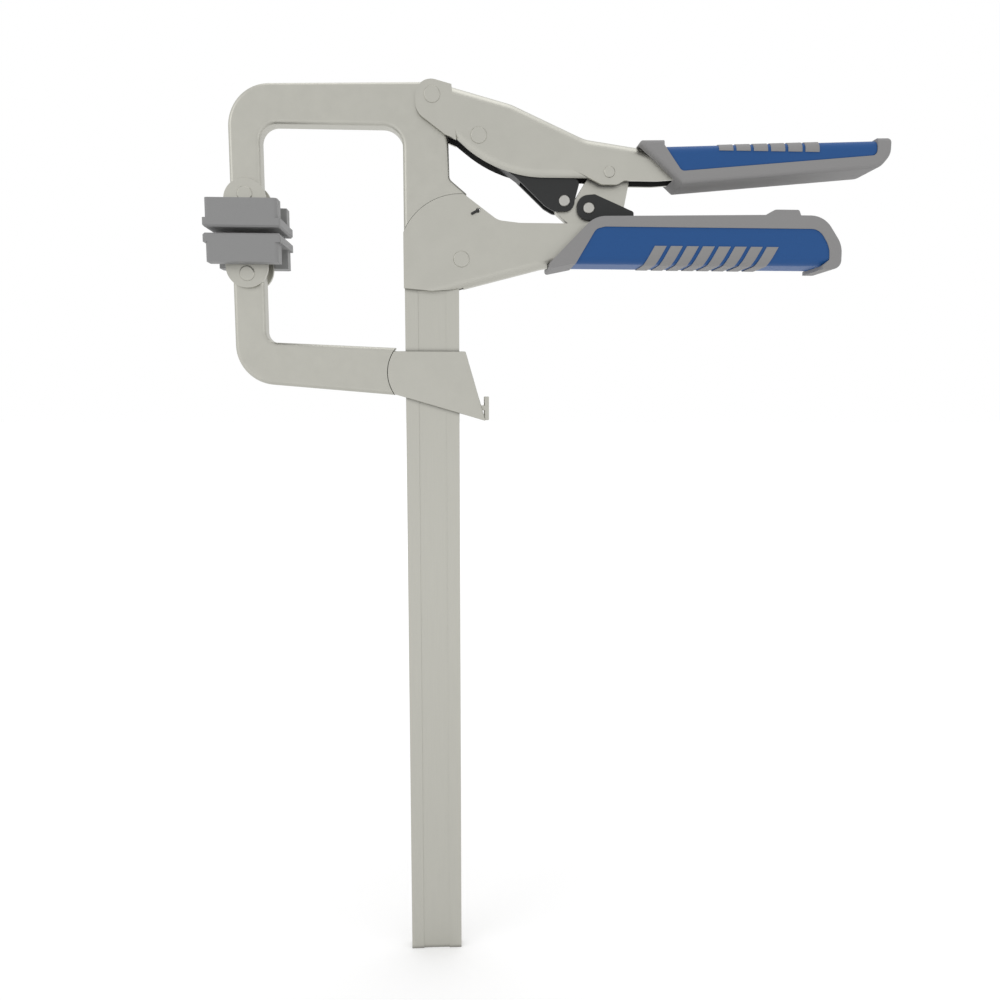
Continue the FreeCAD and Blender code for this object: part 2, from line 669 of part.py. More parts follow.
def thin_eye(body):
    """Takes the near side of the eye away, where the return spring lies."""
    before = body.Shape.Volume
    sketch = new_sketch(body, "XZ_Plane", "eye_circle")
    radius = seam_radius - s.sheet
    centre = FreeCAD.Vector(jaw_x.value, jaw_z.value, 0)
    sketch.addGeometry(Part.Circle(centre, FreeCAD.Vector(0, 0, 1), radius.value), False)
    pin_down(sketch, 0, 3, jaw_x, jaw_z)
    index = sketch.addConstraint(Sketcher.Constraint("Radius", 0, radius.value))
    sketch.setExpression(f"Constraints[{index}]", radius.text)
    # The plane's own normal points to -Y, so a place on the far side has a negative offset.
    offset = s.eye_thin - half_tongue
    sketch.AttachmentOffset = FreeCAD.Placement(FreeCAD.Vector(0, 0, offset.value), FreeCAD.Rotation())
    sketch.setExpression("AttachmentOffset.Base.z", offset.text)
    pocket = body.newObject("PartDesign::Pocket", "upper_jaw_arm_eye_side")
    pocket.Profile = sketch
    pocket.Reversed = True
    pocket.setExpression("Length", (half_body * 2).text)
    doc.recompute()
    if not body.Shape.Volume < before:
        raise RuntimeError("the eye isn't thinned")


def make_frame():
    """Folded lower handle: two cheeks over the bar, closed below from the neck on."""
    near = bar_near - s.frame_edge
    seam = seam_radius - s.seam_play
    seam_x = jaw_x + s.seam_tail
    seam_top = seam_height(seam_x, seam)
    seam_low = seam_height(near, seam)
    middle = (bar_near + bar_far) / 2
    neck = bar_far + s.frame_neck_out
    tail = bar_far + s.frame_tail_out
    rear = bar_far + s.tail_length
    items = [
        (near, -s.frame_low),
        (middle, -s.frame_low - s.frame_belly),
        (bar_far + s.frame_fold_in, -s.frame_low),
        (neck, -s.frame_neck_low),
        (tail, -s.frame_tail_low),
        (rear, -s.frame_tail_low),
        (rear, s.frame_tail_top),
        (bar_far + s.frame_throat_out + s.throat_run, s.frame_tail_top, s.fold_round * 3),
        (bar_far + s.frame_throat_out, s.frame_throat_up, s.fold_round * 2),
        (seam_x, seam_top),
        Arc(jaw_x, jaw_z, "x", "left"),
        (near, seam_low),
    ]
    body = plate("handle_frame", items, half_body)
    fold = bar_far + s.frame_fold_in
    inner = [
        (near - PAST, seam_radius * 2),
        (near - PAST, -s.frame_low * 2),
        (fold, -s.frame_low * 2),
        (fold, -s.frame_low + s.sheet),
        (neck, -s.frame_neck_low + s.sheet),
        (tail, -s.frame_tail_low + s.sheet),
        (rear + s.sheet, -s.frame_tail_low + s.sheet),
        (rear + s.sheet, seam_radius * 2),
    ]

    def fold_edge(edge):
        box = edge.BoundBox
        if box.YLength > NEAR or abs(abs(box.YMin) - half_body.value) > NEAR:
            return False
        if box.XMin < fold.value - SLACK or box.XMax > rear.value + SLACK:
            return False
        return box.ZMax < SLACK - s.frame_tail_low.value

    round_edges(body, "fold", s.fold_round, fold_edge)
    cut_plate(body, "channel", inner, half_bar)
    cut_bore(body, "jaw_bore", jaw_x, jaw_z, s.pivot_radius, PAST)
    hook_x = jaw_x + s.hook_out
    hook_z = jaw_z + s.hook_rise
    cut_bore(body, "hook_bore", hook_x, hook_z, s.wire, PAST)
    wheel_near = end_x + s.wheel_start - s.gap * 2
    wheel_far = end_x + s.wheel_start + s.wheel_long + s.gap * 2
    window = [
        (wheel_near, end_z - s.wheel_radius - s.gap * 2),
        (wheel_far, end_z - s.wheel_radius - s.gap * 2),
        (wheel_far, PAST),
        (wheel_near, PAST),
    ]
    cut_plate(body, "wheel_window", window, half_body + s.gap)
    return body


def make_return_spring():
    """Hairpin of wire: round the jaw pivot, one leg out through the near cheek, one to the tongue."""
    middle = half_tongue - s.wire / 2 - s.gap / 2
    y = -middle.value
    centre = FreeCAD.Vector(jaw_x.value, y, jaw_z.value)
    loop = s.spring_loop.value
    hook = FreeCAD.Vector((jaw_x + s.hook_out).value, y, (jaw_z + s.hook_rise).value)
    tongue = FreeCAD.Vector((jaw_x - s.hook_out).value, y, (jaw_z + s.tongue_leg_rise).value)

    def tangent(point, side):
        """Where a line from the point touches the loop."""
        dx = point.x - centre.x
        dz = point.z - centre.z
        far = math.hypot(dx, dz)
        turn = math.atan2(dz, dx) + side * math.acos(loop / far)
        return FreeCAD.Vector(centre.x + loop * math.cos(turn), y, centre.z + loop * math.sin(turn))

    first = tangent(hook, -1)
    last = tangent(tongue, 1)
    low = FreeCAD.Vector(centre.x, y, centre.z - loop)
    outside = -(half_body + s.wire / 2 + s.run_fit).value
    bend = FreeCAD.Vector(hook.x, outside, hook.z)
    tip = FreeCAD.Vector((jaw_x + s.hook_out - s.hook_lie_out).value, outside,
                         (jaw_z + s.hook_rise - s.hook_lie_drop).value)
    path = Part.Wire([
        Part.makeLine(hook, first),
        Part.Arc(first, low, last).toShape(),
        Part.makeLine(last, tongue),
    ])
    direction = first - hook
    profile = Part.Wire(Part.makeCircle(s.wire.value / 2, hook, direction))
    body = path.makePipeShell([profile], True, False)
    thick = s.wire.value / 2
    peg = Part.makeCylinder(thick, (hook - bend).Length, bend, ALONG_Y)
    lie = Part.makeCylinder(thick, (tip - bend).Length, bend, tip - bend)
    knobs = [Part.makeSphere(thick, place) for place in (hook, bend)]
    spring = doc.addObject("Part::Feature", "jaw_return_spring")
    spring.Label = "jaw_return_spring"
    spring.Shape = body.fuse([peg, lie, *knobs])
    return spring


def make_upper_handle():
    """Folded channel of the upper handle, with the two ears that hold the jaw's boss."""
    def at(out, drop, *rounding):
        return (handle_x + out, handle_z - drop, *rounding)

    start = s.web_start
    slope = (s.hump_drop + s.ear_top) / (s.hump_out + s.ear_radius)
    web_top = slope * (start + s.ear_radius) - s.ear_top
    items = [
        at(start, web_top),
        at(s.hump_out, s.hump_drop, s.arm_bend),
        at(s.waist_out, s.waist_drop, s.arm_bend),
        at(s.handle_neck_out, s.handle_neck_drop),
        at(s.handle_neck_out + s.throat_run, s.handle_neck_drop + s.neck_dip),
        at(s.handle_tail_out, s.handle_tail_drop),
        at(s.handle_tail_out, s.handle_tail_deep),
        at(s.handle_neck_out + s.throat_run, s.wall_neck_drop),
        at(s.toggle_out + s.lobe_half, s.wall_neck_drop),
        at(s.toggle_out + s.lobe_half / 2, s.toggle_drop + s.lobe_deep, s.lobe_half / 2),
        at(s.toggle_out - s.lobe_half / 2, s.toggle_drop + s.lobe_deep, s.lobe_half / 2),
        at(s.toggle_out - s.lobe_half, s.wall_waist_drop),
        at(s.wall_belly_out, s.wall_waist_drop, s.wall_belly_round),
        at(start, s.wall_chin_drop + s.sheet),
    ]
    body = plate("handle_lever", items, half_handle)

    def fold_edge(edge):
        box = edge.BoundBox
        if box.YLength > NEAR or abs(abs(box.YMin) - half_handle.value) > NEAR:
            return False
        if box.XLength < SLACK:
            return False
        middle = edge.valueAt((edge.FirstParameter + edge.LastParameter) / 2)
        return middle.z > (handle_z - s.handle_neck_drop - s.neck_dip).value - SLACK

    round_edges(body, "fold", s.handle_fold, fold_edge)
    ear = [
        at(-s.ear_radius, -s.ear_top, s.ear_radius - s.gap),
        at(start, web_top),
        at(start + s.sheet, s.wall_chin_drop + s.sheet),
        at(s.wall_chin_out, s.wall_chin_drop),
        at(-s.ear_radius, s.ear_radius, s.ear_radius - s.gap),
    ]
    add_plate(body, "ear", ear, half_handle)
    round_corners(body, "ear_corner", ear)
    inner = [
        at(-s.ear_radius * 2, -s.ear_radius * 3),
        at(start, -s.ear_radius * 3),
        at(start, web_top + s.sheet),
        at(s.hump_out, s.hump_drop + s.sheet),
        at(s.waist_out, s.waist_drop + s.sheet),
        at(s.handle_neck_out, s.handle_neck_drop + s.sheet),
        at(s.handle_neck_out + s.throat_run, s.handle_neck_drop + s.neck_dip + s.sheet),
        at(s.handle_tail_out + s.sheet, s.handle_tail_drop + s.sheet),
        at(s.handle_tail_out + s.sheet, s.handle_tail_deep + PAST),
        at(-s.ear_radius * 2, s.handle_tail_deep + PAST),
    ]
    cut_plate(body, "channel", inner, half_body + s.gap)
    cut_bore(body, "handle_bore", handle_x, handle_z, s.pivot_radius, PAST)
    cut_bore(body, "stop_bore", stop_x, stop_z, s.toggle_radius, PAST)
    cut_bore(body, "toggle_bore", toggle_x, toggle_z, s.toggle_radius, PAST)
    return body


def make_toggle_link():
    """Flat L-shaped link from the toggle pin down into the frame's channel."""
    eye = s.link_eye
    end = s.link_end
    lobe = s.link_lobe
    elbow = toggle_z - s.link_elbow_drop
    foot = toggle_z - s.link_foot_drop
    leg_far = toggle_x + s.link_leg_out
    leg_near = toggle_x - s.link_leg_in
    items = [
        (toggle_x - eye, toggle_z + eye, eye - s.side_play),
        (toggle_x + eye, toggle_z + eye, eye - s.side_play),
        (toggle_x + s.shoulder_out, toggle_z - s.link_half, s.link_half),
        (leg_far, elbow, eye),
        (end_x + end, end_z + end, end - s.side_play),
        (end_x + end, end_z - end, end - s.side_play),
        (end_x - end, end_z - end),
        (leg_far, foot, eye * 3),
        (leg_near + lobe, foot + lobe, eye),
        (strut_x - lobe, strut_z - lobe, lobe - s.side_play),
        (strut_x - lobe, strut_z + lobe, lobe - s.side_play),
        (leg_near - lobe / 2, strut_z + lobe, lobe / 4),
        (leg_near, strut_z + lobe / 3),
    ]
    body = plate("toggle_link", items, s.link_half)
    cut_bore(body, "toggle_bore", toggle_x, toggle_z, s.toggle_radius + s.run_fit, PAST)
    cut_bore(body, "strut_bore", strut_x, strut_z, s.toggle_radius, PAST)
    cut_bore(body, "trigger_bore", trigger_x, trigger_z, s.toggle_radius, PAST)
    return body


half_fork = s.link_half + s.fork_inner + s.fork_sheet


def make_strut():
    """Black strut: a fork on the strut pin, and a slotted arm up inside the handle channel."""
    run = strut_x - stop_x
    rise = stop_z - strut_z
    span = reach(run, rise)
    back = run / span
    up = rise / span

    def along(far, side, *rounding):
        """A place this far from the strut pin towards the guide pin, and this far to the upper side."""
        return (strut_x - back * far + up * side, strut_z + up * far + back * side, *rounding)

    arm = s.strut_arm
    eye = s.strut_eye
    items = [
        along(s.strut_tail + s.slot_half, -arm, s.slot_half),
        along(s.strut_tail + s.slot_half, arm, s.slot_half),
        along(s.strut_flare, arm, eye),
        (strut_x + s.strut_shoulder, strut_z + s.strut_shoulder_up, eye / 2),
        (strut_x + eye, strut_z, eye / 2),
        (strut_x + eye, strut_z - eye, eye - s.gap),
        (strut_x - eye, strut_z - eye, eye - s.gap),
        (strut_x - s.strut_heel, strut_z - eye / 2, eye / 2),
        along(s.strut_flare_low, -arm, eye),
    ]
    body = plate("release_strut", items, half_fork)
    slot = [
        along(s.slot_near, s.slot_half, s.slot_half - s.gap),
        along(s.slot_near, -s.slot_half, s.slot_half - s.gap),
        along(s.slot_far, -s.slot_half, s.slot_half - s.gap),
        along(s.slot_far, s.slot_half, s.slot_half - s.gap),
    ]
    cut_plate(body, "slot", slot, PAST)
    mouth = [
        along(s.strut_mouth, -PAST),
        along(s.strut_mouth, PAST),
        (strut_x + PAST, strut_z + PAST),
        (strut_x + PAST, strut_z - PAST),
    ]
    cut_plate(body, "mouth", mouth, s.link_half + s.fork_inner)
    cut_bore(body, "strut_bore", strut_x, strut_z, s.toggle_radius + s.run_fit, PAST)
    return body


def make_release_lever():
    """Black release lever: a fork on its pin with a short finger tip."""
    eye = s.trigger_eye
    items = [
        (trigger_x - eye, trigger_z + eye, eye - s.gap),
        (trigger_x + eye / 2, trigger_z + s.trigger_top, eye / 4),
        (trigger_x + s.trigger_reach, trigger_z - s.trigger_tip_high, s.head_high * 2),
        (trigger_x + s.trigger_reach, trigger_z - s.trigger_tip_low, s.head_high * 2),
        (trigger_x + eye, trigger_z - eye),
        (trigger_x - eye, trigger_z - eye, eye - s.gap),
    ]
    body = plate("release_lever", items, half_fork)
    # The tip keeps a web between the two cheeks, clear of the link's leg.
    mouth = [
        (trigger_x - PAST, trigger_z - PAST),
        (toggle_x + s.link_leg_out + s.trigger_web, trigger_z - PAST),
        (toggle_x + s.link_leg_out + s.trigger_web, trigger_z + PAST),
        (trigger_x - PAST, trigger_z + PAST),
    ]
    cut_plate(body, "mouth", mouth, s.link_half + s.fork_inner)
    cut_bore(body, "trigger_bore", trigger_x, trigger_z, s.toggle_radius + s.run_fit, PAST)
    return body


def clamp_pad(name, face, way):
    """Grey pad: a base with two cheeks, its clamping face at this height."""
    length = s.pad_length / 2
    half = s.pad_width / 2
    back = face + s.pad_base * way
    top = face + s.pad_high * way
    cheek = length - s.cheek_inset
    base = [
        (-length, face),
        (length, face),
        (length, back),
        (-length, back),
    ]
    cheeks = [
        (-cheek, face + s.pad_edge * 2 * way),
        (cheek, face + s.pad_edge * 2 * way),
        (cheek, top),
        (-cheek, top),
    ]
    body = new_body(name)
    add_plate(body, "base", base, half)

    def upright_at(out):
        def wanted(edge):
            middle = edge.valueAt((edge.FirstParameter + edge.LastParameter) / 2)
            if not straight_along(edge, ALONG_Z):
                return False
            return abs(abs(middle.y) - half.value) < NEAR and abs(abs(middle.x) - out.value) < NEAR
        return wanted

    round_edges(body, "base_uprights", s.base_corner, upright_at(length))
    add_plate(body, "cheeks", cheeks, half)
    slot = [
        (-PAST, back),
        (PAST, back),
        (PAST, back + PAST * way),
        (-PAST, back + PAST * way),
    ]
    cut_plate(body, "slot", slot, half_handle + s.gap)
    round_edges(body, "cheek_uprights", s.pad_corner, upright_at(cheek))

    def rim(edge):
        box = edge.BoundBox
        return abs(box.ZMin - face.value) < NEAR and box.ZLength < NEAR

    chamfer_edges(body, "edge", s.pad_edge, rim)
    return body


def clamp_shoe(name, face, way, pin):
    """Steel shoe in the pad: a base and two round ears on the pad pin."""
    seat = face + s.pad_base * way
    centre = face + s.shoe_centre * way
    radius = s.shoe_radius
    top = centre + radius * way
    items = [
        (-radius, seat),
        (radius, seat),
        (radius, top, radius - s.side_play),
        (-radius, top, radius - s.side_play),
    ]
    body = plate(name, items, half_handle)
    slot = [
        (-PAST, seat + s.shoe_sheet * way),
        (PAST, seat + s.shoe_sheet * way),
        (PAST, seat + PAST * way),
        (-PAST, seat + PAST * way),
    ]
    cut_plate(body, "slot", slot, half_body + s.gap)
    cut_bore(body, "pin_bore", NONE, pin, s.pad_pin_radius, PAST)
    return body


collar_near = bar_near - s.collar_left
collar_mid = -(s.collar_top + s.collar_left_low) / 2
wrap_x = collar_near - s.collar_wrap_deep + s.collar_wrap


def make_lower_arm():
    """Forged L arm, with a thinner tongue between the collar's plates."""
    pin = low_face - s.low_pin_down
    eye_high = pin + half_arm
    end = collar_near + s.sheet * 2
    end_top = -s.low_arm_inner - s.low_arm_fall
    end_low = -s.low_arm_outer - s.low_arm_spread
    items = [
        (-half_arm, eye_high, half_arm - s.gap * 2),
        (half_arm, eye_high, half_arm - s.gap * 2),
        (half_arm, -s.low_arm_inner, s.low_inner_bend),
        (end, end_top),
        (end, end_low),
        (-half_arm, -s.low_arm_outer, s.low_arm_bend),
    ]
    body = plate("lower_jaw_arm", items, half_body)
    cut_bore(body, "wrap", wrap_x, collar_mid, s.collar_wrap, PAST)

    def outer_edge(edge):
        box = edge.BoundBox
        if abs(abs(box.YMin) - half_body.value) > NEAR or box.YLength > NEAR:
            return False
        middle = edge.valueAt((edge.FirstParameter + edge.LastParameter) / 2)
        away = math.hypot(middle.x - wrap_x.value, middle.z - collar_mid.value)
        return away > s.collar_wrap.value + REACH

    round_edges(body, "soft_edges", s.arm_round, outer_edge)
    inset = s.sheet * 2
    tongue = [
        (collar_near - inset * 2, end_top - s.sheet),
        (bar_near - s.gap, end_top - inset),
        (bar_near - s.gap, end_low + inset),
        (collar_near - inset * 2, end_low + inset),
    ]
    add_plate(body, "tongue", tongue, half_bar)
    cut_bore(body, "pad_bore", NONE, pin, s.pad_pin_radius + s.run_fit, PAST)
    return body


def make_collar():
    """Folded collar that slides on the bar and carries the lower arm."""
    right = bar_far + s.collar_right
    right_low = bar_far + s.collar_right_low
    items = [
        (collar_near, -s.collar_top),
        Arc(wrap_x, collar_mid, "x", "left"),
        (collar_near, -s.collar_left_low),
        (right_low, -s.collar_low),
        (right, -s.collar_top),
    ]
    body = plate("slide_collar", items, half_body)
    lean = (right_low - right) / (s.collar_low - s.collar_top)
    web = s.sheet
    high = PAST
    inner = [
        (collar_near - PAST, -s.collar_top + high),
        (right - web - lean * high, -s.collar_top + high),
        (right_low - web - lean * s.web_short, -s.collar_low + s.web_short),
        (right_low + PAST, -s.collar_low + s.web_short),
        (right_low + PAST, -s.collar_low - high),
        (collar_near - PAST, -s.collar_low - high),
    ]
    cut_plate(body, "passage", inner, half_bar + s.side_play)
    return body


def web_inside(z):
    """Inner face of the collar's slanted web at a height."""
    right = bar_far + s.collar_right
    lean = (s.collar_right_low - s.collar_right) / (s.collar_low - s.collar_top)
    return right - s.sheet + lean * (-s.collar_top - z)


def make_lock_plate():
    """Canted locking plate: bites the bar's far edge, and its outer tab lets it go."""
    tooth = bar_far + s.lock_tooth
    thick = s.lock_thick
    head = -s.collar_top - s.lock_head_drop
    head_round = thick / 2 - s.run_fit
    leg_high = -s.collar_low + s.web_short - s.lock_swing
    leg_low = leg_high - thick
    tab_near = bar_far + s.lock_tab_out
    tab_low = -s.collar_low + s.gap
    items = [
        (tooth, leg_low),
        (tooth, head, head_round),
        (tooth + thick, head, head_round),
        (tooth + thick, leg_high),
        (tab_near, leg_high),
        (tab_near, -s.collar_low + s.lock_tab_high),
        (tab_near + thick, -s.collar_low + s.lock_tab_high),
        (tab_near + thick, tab_low),
        (tab_near, tab_low),
        (tab_near, leg_low),
    ]
    return plate("slide_lock_plate", items, half_bar - s.side_play)


def make_lock_spring():
    """Bowed leaf between the collar's web and the locking plate."""
    z_top = -s.collar_top - s.lock_head_drop - s.lock_thick
    z_low = -s.collar_low + s.web_short + s.lock_swing
    wall_top = web_inside(z_top)
    wall_low = web_inside(z_low)
    z_mid = (z_top + z_low) / 2
    bow = bar_far + s.lock_tooth + s.lock_thick + s.side_play
    leaf = s.leaf
    items = [
        (wall_top - leaf, z_top),
        (wall_top, z_top),
        (bow + leaf, z_mid),
        (wall_low, z_low),
        (wall_low - leaf, z_low),
        (bow, z_mid),
    ]
    return plate("slide_lock_spring", items, half_bar - s.sheet / 2)


def make_adjuster():
    """Knurled wheel on a screw whose nose the toggle link bears on, and its fixed nut."""
    start = end_x + s.wheel_start
    far = start + s.wheel_long
    nose = end_x + s.link_end + s.nose_gap
    rear = far + s.screw_tail
    turned("adjuster_screw", [
        (NONE, nose),
        (s.screw_radius - s.head_chamfer, nose),
        (s.screw_radius, nose + s.head_chamfer),
        (s.screw_radius, rear),
        (NONE, rear),
    ], "x", NONE, end_z)
    bevel = s.head_high
    wheel = turned("adjuster_wheel", [
        (s.screw_radius, start),
        (s.wheel_radius - bevel, start),
        (s.wheel_radius, start + bevel),
        (s.wheel_radius, far - bevel),
        (s.wheel_radius - bevel, far),
        (s.screw_radius, far),
    ], "x", NONE, end_z)
    before = wheel.Shape.Volume
    sketch = new_sketch(wheel, "YZ_Plane", "groove_circle")
    groove = FreeCAD.Vector(0, s.wheel_radius.value, 0)
    sketch.addGeometry(Part.Circle(groove, FreeCAD.Vector(0, 0, 1), s.knurl_radius.value), False)
    pin_down(sketch, 0, 3, NONE, s.wheel_radius)
    index = sketch.addConstraint(Sketcher.Constraint("Radius", 0, s.knurl_radius.value))
    sketch.setExpression(f"Constraints[{index}]", s.knurl_radius.text)
    pocket = wheel.newObject("PartDesign::Pocket", "adjuster_wheel_groove")
    pocket.Profile = sketch
    pocket.Reversed = True
    pocket.setExpression("Length", (far + PAST).text)
    doc.recompute()
    if not wheel.Shape.Volume < before:
        raise RuntimeError("the groove cuts nothing")
    pattern = wheel.newObject("PartDesign::PolarPattern", "adjuster_wheel_knurl")
    pattern.Originals = [pocket]
    pattern.Axis = (origin_plane(wheel, "X_Axis"), [""])
    pattern.Angle = FULL_TURN
    pattern.setExpression("Occurrences", s.knurl_count.text)
    wheel.Tip = pattern
    doc.recompute()
    nut_near = far + s.eye_step
    nut_far = nut_near + s.nut_long
    floor = -s.frame_tail_low + s.sheet
    nut = plate("adjuster_nut", [
        (nut_near, floor),
        (nut_far, floor),
        (nut_far, s.frame_tail_top),
        (nut_near, s.frame_tail_top),
    ], half_bar)
    before = nut.Shape.Volume
    sketch = new_sketch(nut, "YZ_Plane", "bore_circle")
    bore = s.screw_radius + s.run_fit
    centre = FreeCAD.Vector(0, end_z.value, 0)
    sketch.addGeometry(Part.Circle(centre, FreeCAD.Vector(0, 0, 1), bore.value), False)
    pin_down(sketch, 0, 3, NONE, end_z)
    index = sketch.addConstraint(Sketcher.Constraint("Radius", 0, bore.value))
    sketch.setExpression(f"Constraints[{index}]", bore.text)
    hole = nut.newObject("PartDesign::Pocket", "adjuster_nut_bore")
    hole.Profile = sketch
    hole.Reversed = True
    hole.setExpression("Length", (nut_far + PAST).text)
    doc.recompute()
    if not nut.Shape.Volume < before:
        raise RuntimeError("the nut isn't bored")


def lower_grip_items():
    """Side outlines of the lower grip's rim and core, and of the cavity for the frame."""
    front = bar_far + s.low_grip_front
    rear = bar_far + s.low_grip_end
    high = s.low_grip_high + s.low_grip_rise
    guard_near = end_x + s.wheel_start - s.guard_long / 4
    guard_far = guard_near + s.guard_long
    peak = high + s.guard_high
    panel_front = bar_far + s.low_panel_front
    panel_end = bar_far + s.low_panel_end
    rim = [
        (front, -s.low_grip_low, s.head_high * 2),
        (front, -s.low_grip_base, s.sheet / 2),
        (front + s.low_lip_lean, s.low_grip_high, s.grip_half),
        (guard_near - s.sheet, high),
        (guard_near + s.sheet, peak, s.fold_round),
        (guard_far - s.sheet / 2, peak, s.sheet / 2),
        (guard_far, high),
        (rear - s.low_rear_slope, high, s.rear_round),
        (rear, -s.low_rear_drop, s.rear_round),
        (rear, -s.low_heel_drop, s.fold_round),
        (rear - s.low_heel_long, -s.low_heel_drop),
        (rear - s.low_heel_long, -s.low_grip_base),
        (front + s.grip_half, -s.low_grip_base),
    ]
    low = -s.low_grip_low * 2
    core = [
        (panel_front, low),
        (panel_front, -s.low_grip_base),
        (panel_front + s.low_panel_lean, s.low_panel_high - s.sheet / 2, s.fold_round),
        (panel_front + s.low_panel_lead, s.low_panel_high, s.fold_round),
        (panel_end - s.low_panel_slope, s.low_panel_high, s.up_rear_round),
        (panel_end, -s.low_panel_drop, s.rear_round),
        (panel_end, -s.low_panel_heel),
        (panel_end - s.low_panel_bevel, -s.low_grip_base),
        (panel_end - s.low_panel_bevel, low),
    ]
    return rim, core


def cut_frame_cavity(body):
    """Space for the frame's channel and the wheel, open above."""
    neck = bar_far + s.frame_neck_out
    tail = bar_far + s.frame_tail_out
    rear = bar_far + s.tail_length
    lead = neck - s.throat_run
    lean = (s.frame_low - s.frame_neck_low) / (s.frame_neck_out - s.frame_fold_in)
    cavity = [
        (lead, -s.frame_neck_low - lean * (neck - lead)),
        (neck, -s.frame_neck_low),
        (tail, -s.frame_tail_low),
        (rear, -s.frame_tail_low),
        (rear, PAST),
        (lead, PAST),
    ]
    cut_plate(body, "channel", cavity, half_body)
    near = end_x + s.wheel_start - s.gap * 2
    far = end_x + s.wheel_start + s.wheel_long + s.gap * 2
    low = end_z - s.wheel_radius - s.gap * 2
    window = [
        (near, low),
        (far, low),
        (far, PAST),
        (near, PAST),
    ]
    cut_plate(body, "wheel_window", window, s.wheel_radius + s.gap * 2)


def make_lower_grip():
    rim_items, core_items = lower_grip_items()
    rim = plate("lower_grip_rim", rim_items, s.grip_half)
    cut_items(rim, "core_space", core_items, s.grip_half + s.gap)
    cut_frame_cavity(rim)
    core_body = new_body("lower_grip_core")
    add_plate(core_body, "block", core_items[1:-1], s.panel_half)
    round_corners(core_body, "corner", core_items)

    def long_low(edge):
        box = edge.BoundBox
        return box.ZLength < NEAR and box.YLength < NEAR and abs(box.ZMin + s.low_grip_base.value) < NEAR

    round_edges(core_body, "belly", s.grip_round, long_low)
    cut_frame_cavity(core_body)


def cut_items(body, name, items, half):
    """Cuts a plate with rounded corners, made as a tool body's outline would be."""
    cut_plate(body, name, items, half)
    rounds = [item for item in items if len(item) > 2]
    for item in rounds:

        def wanted(edge):
            if not straight_along(edge, ALONG_Y):
                return False
            place = edge.Vertexes[0].Point
            return abs(place.x - item[0].value) < NEAR and abs(place.z - item[1].value) < NEAR

        round_edges(body, f"{name}_round{rounds.index(item)}", item[2], wanted)


def make_upper_grip():
    def at(out, drop, *rounding):
        return (handle_x + out, handle_z - drop, *rounding)

    lip = s.up_grip_front + s.up_lip_long
    rim_items = [
        at(s.up_grip_front, s.up_grip_top, s.lip_round),
        at(s.up_grip_end, s.up_grip_rear_top, s.sheet),
        at(s.up_grip_end, s.up_rear_drop, s.up_rear_round),
        at(s.up_grip_end - s.up_rear_bevel, s.up_grip_rear_base, s.up_rear_round),
        at(lip, s.up_grip_base, s.head_high * 2),
    ]
    core_items = [
        at(s.up_panel_front, -PAST),
        at(s.up_panel_front, s.up_grip_top + s.up_panel_inset),
        at(s.up_panel_front + s.up_panel_lean, s.up_panel_base, s.panel_round),
        at(s.up_panel_end, s.up_panel_rear_base, s.panel_round),
        at(s.up_panel_end, -PAST),
    ]
    rim = plate("upper_grip_rim", rim_items, s.grip_half)
    cut_items(rim, "core_space", core_items, s.grip_half + s.gap)

    def long_low(edge):
        box = edge.BoundBox
        if box.YLength > NEAR or abs(abs(box.YMin) - s.grip_half.value) > NEAR:
            return False
        return box.XLength > s.guard_long.value * 4 and box.ZMin < (handle_z - s.up_grip_base).value + REACH

    round_edges(rim, "belly", s.sheet, long_low)
    cut_handle_cavity(rim)
    top = s.up_grip_top + s.up_panel_inset
    rear_top = s.up_grip_rear_top + s.up_panel_rear_inset
    core_outline = [
        at(s.up_panel_front, top),
        core_items[2],
        core_items[3],
        at(s.up_panel_end, rear_top),
    ]
    core = plate("upper_grip_core", core_outline, s.panel_half)

    def long_high(edge):
        box = edge.BoundBox
        if box.YLength > NEAR or abs(abs(box.YMin) - s.panel_half.value) > NEAR:
            return False
        return box.XLength > s.guard_long.value * 4 and box.ZMax > (handle_z - rear_top).value - REACH

    round_edges(core, "crown", s.grip_round, long_high)
    cut_handle_cavity(core)


def cut_handle_cavity(body):
    """Space for the upper channel inside the grip."""
    def at(out, drop):
        return (handle_x + out, handle_z - drop)

    front = s.handle_neck_out - s.lead_in
    cavity = [
        at(front, s.handle_neck_drop),
        at(s.handle_neck_out, s.handle_neck_drop),
        at(s.handle_neck_out + s.throat_run, s.handle_neck_drop + s.neck_dip),
        at(s.handle_tail_out, s.handle_tail_drop),
        at(s.handle_tail_out, s.handle_tail_deep),
        at(s.handle_neck_out + s.throat_run, s.wall_neck_drop),
        at(front, s.wall_neck_drop),
    ]
    cut_plate(body, "channel", cavity, half_handle)


make_bar()
make_frame()
rivet("jaw_pivot_pin", jaw_x, jaw_z, s.pivot_radius, s.head_big, half_body)
make_return_spring()
make_adjuster()
make_lower_grip()
make_upper_arm()
rivet("handle_pivot_pin", handle_x, handle_z, s.pivot_radius, s.head_big, half_handle)
make_upper_handle()
make_upper_grip()
rivet("strut_guide_pin", stop_x, stop_z, s.toggle_radius, s.head_big, half_handle)
rivet("toggle_pin", toggle_x, toggle_z, s.toggle_radius, s.head_small, half_handle)
make_toggle_link()
rivet("strut_pin", strut_x, strut_z, s.toggle_radius, s.head_small, half_fork + s.side_play / 2)
rivet("release_lever_pin", trigger_x, trigger_z, s.toggle_radius, s.head_small, half_fork + s.side_play)
make_strut()
make_release_lever()
make_lower_arm()
make_collar()
make_lock_plate()
make_lock_spring()
low_pin = low_face - s.low_pin_down
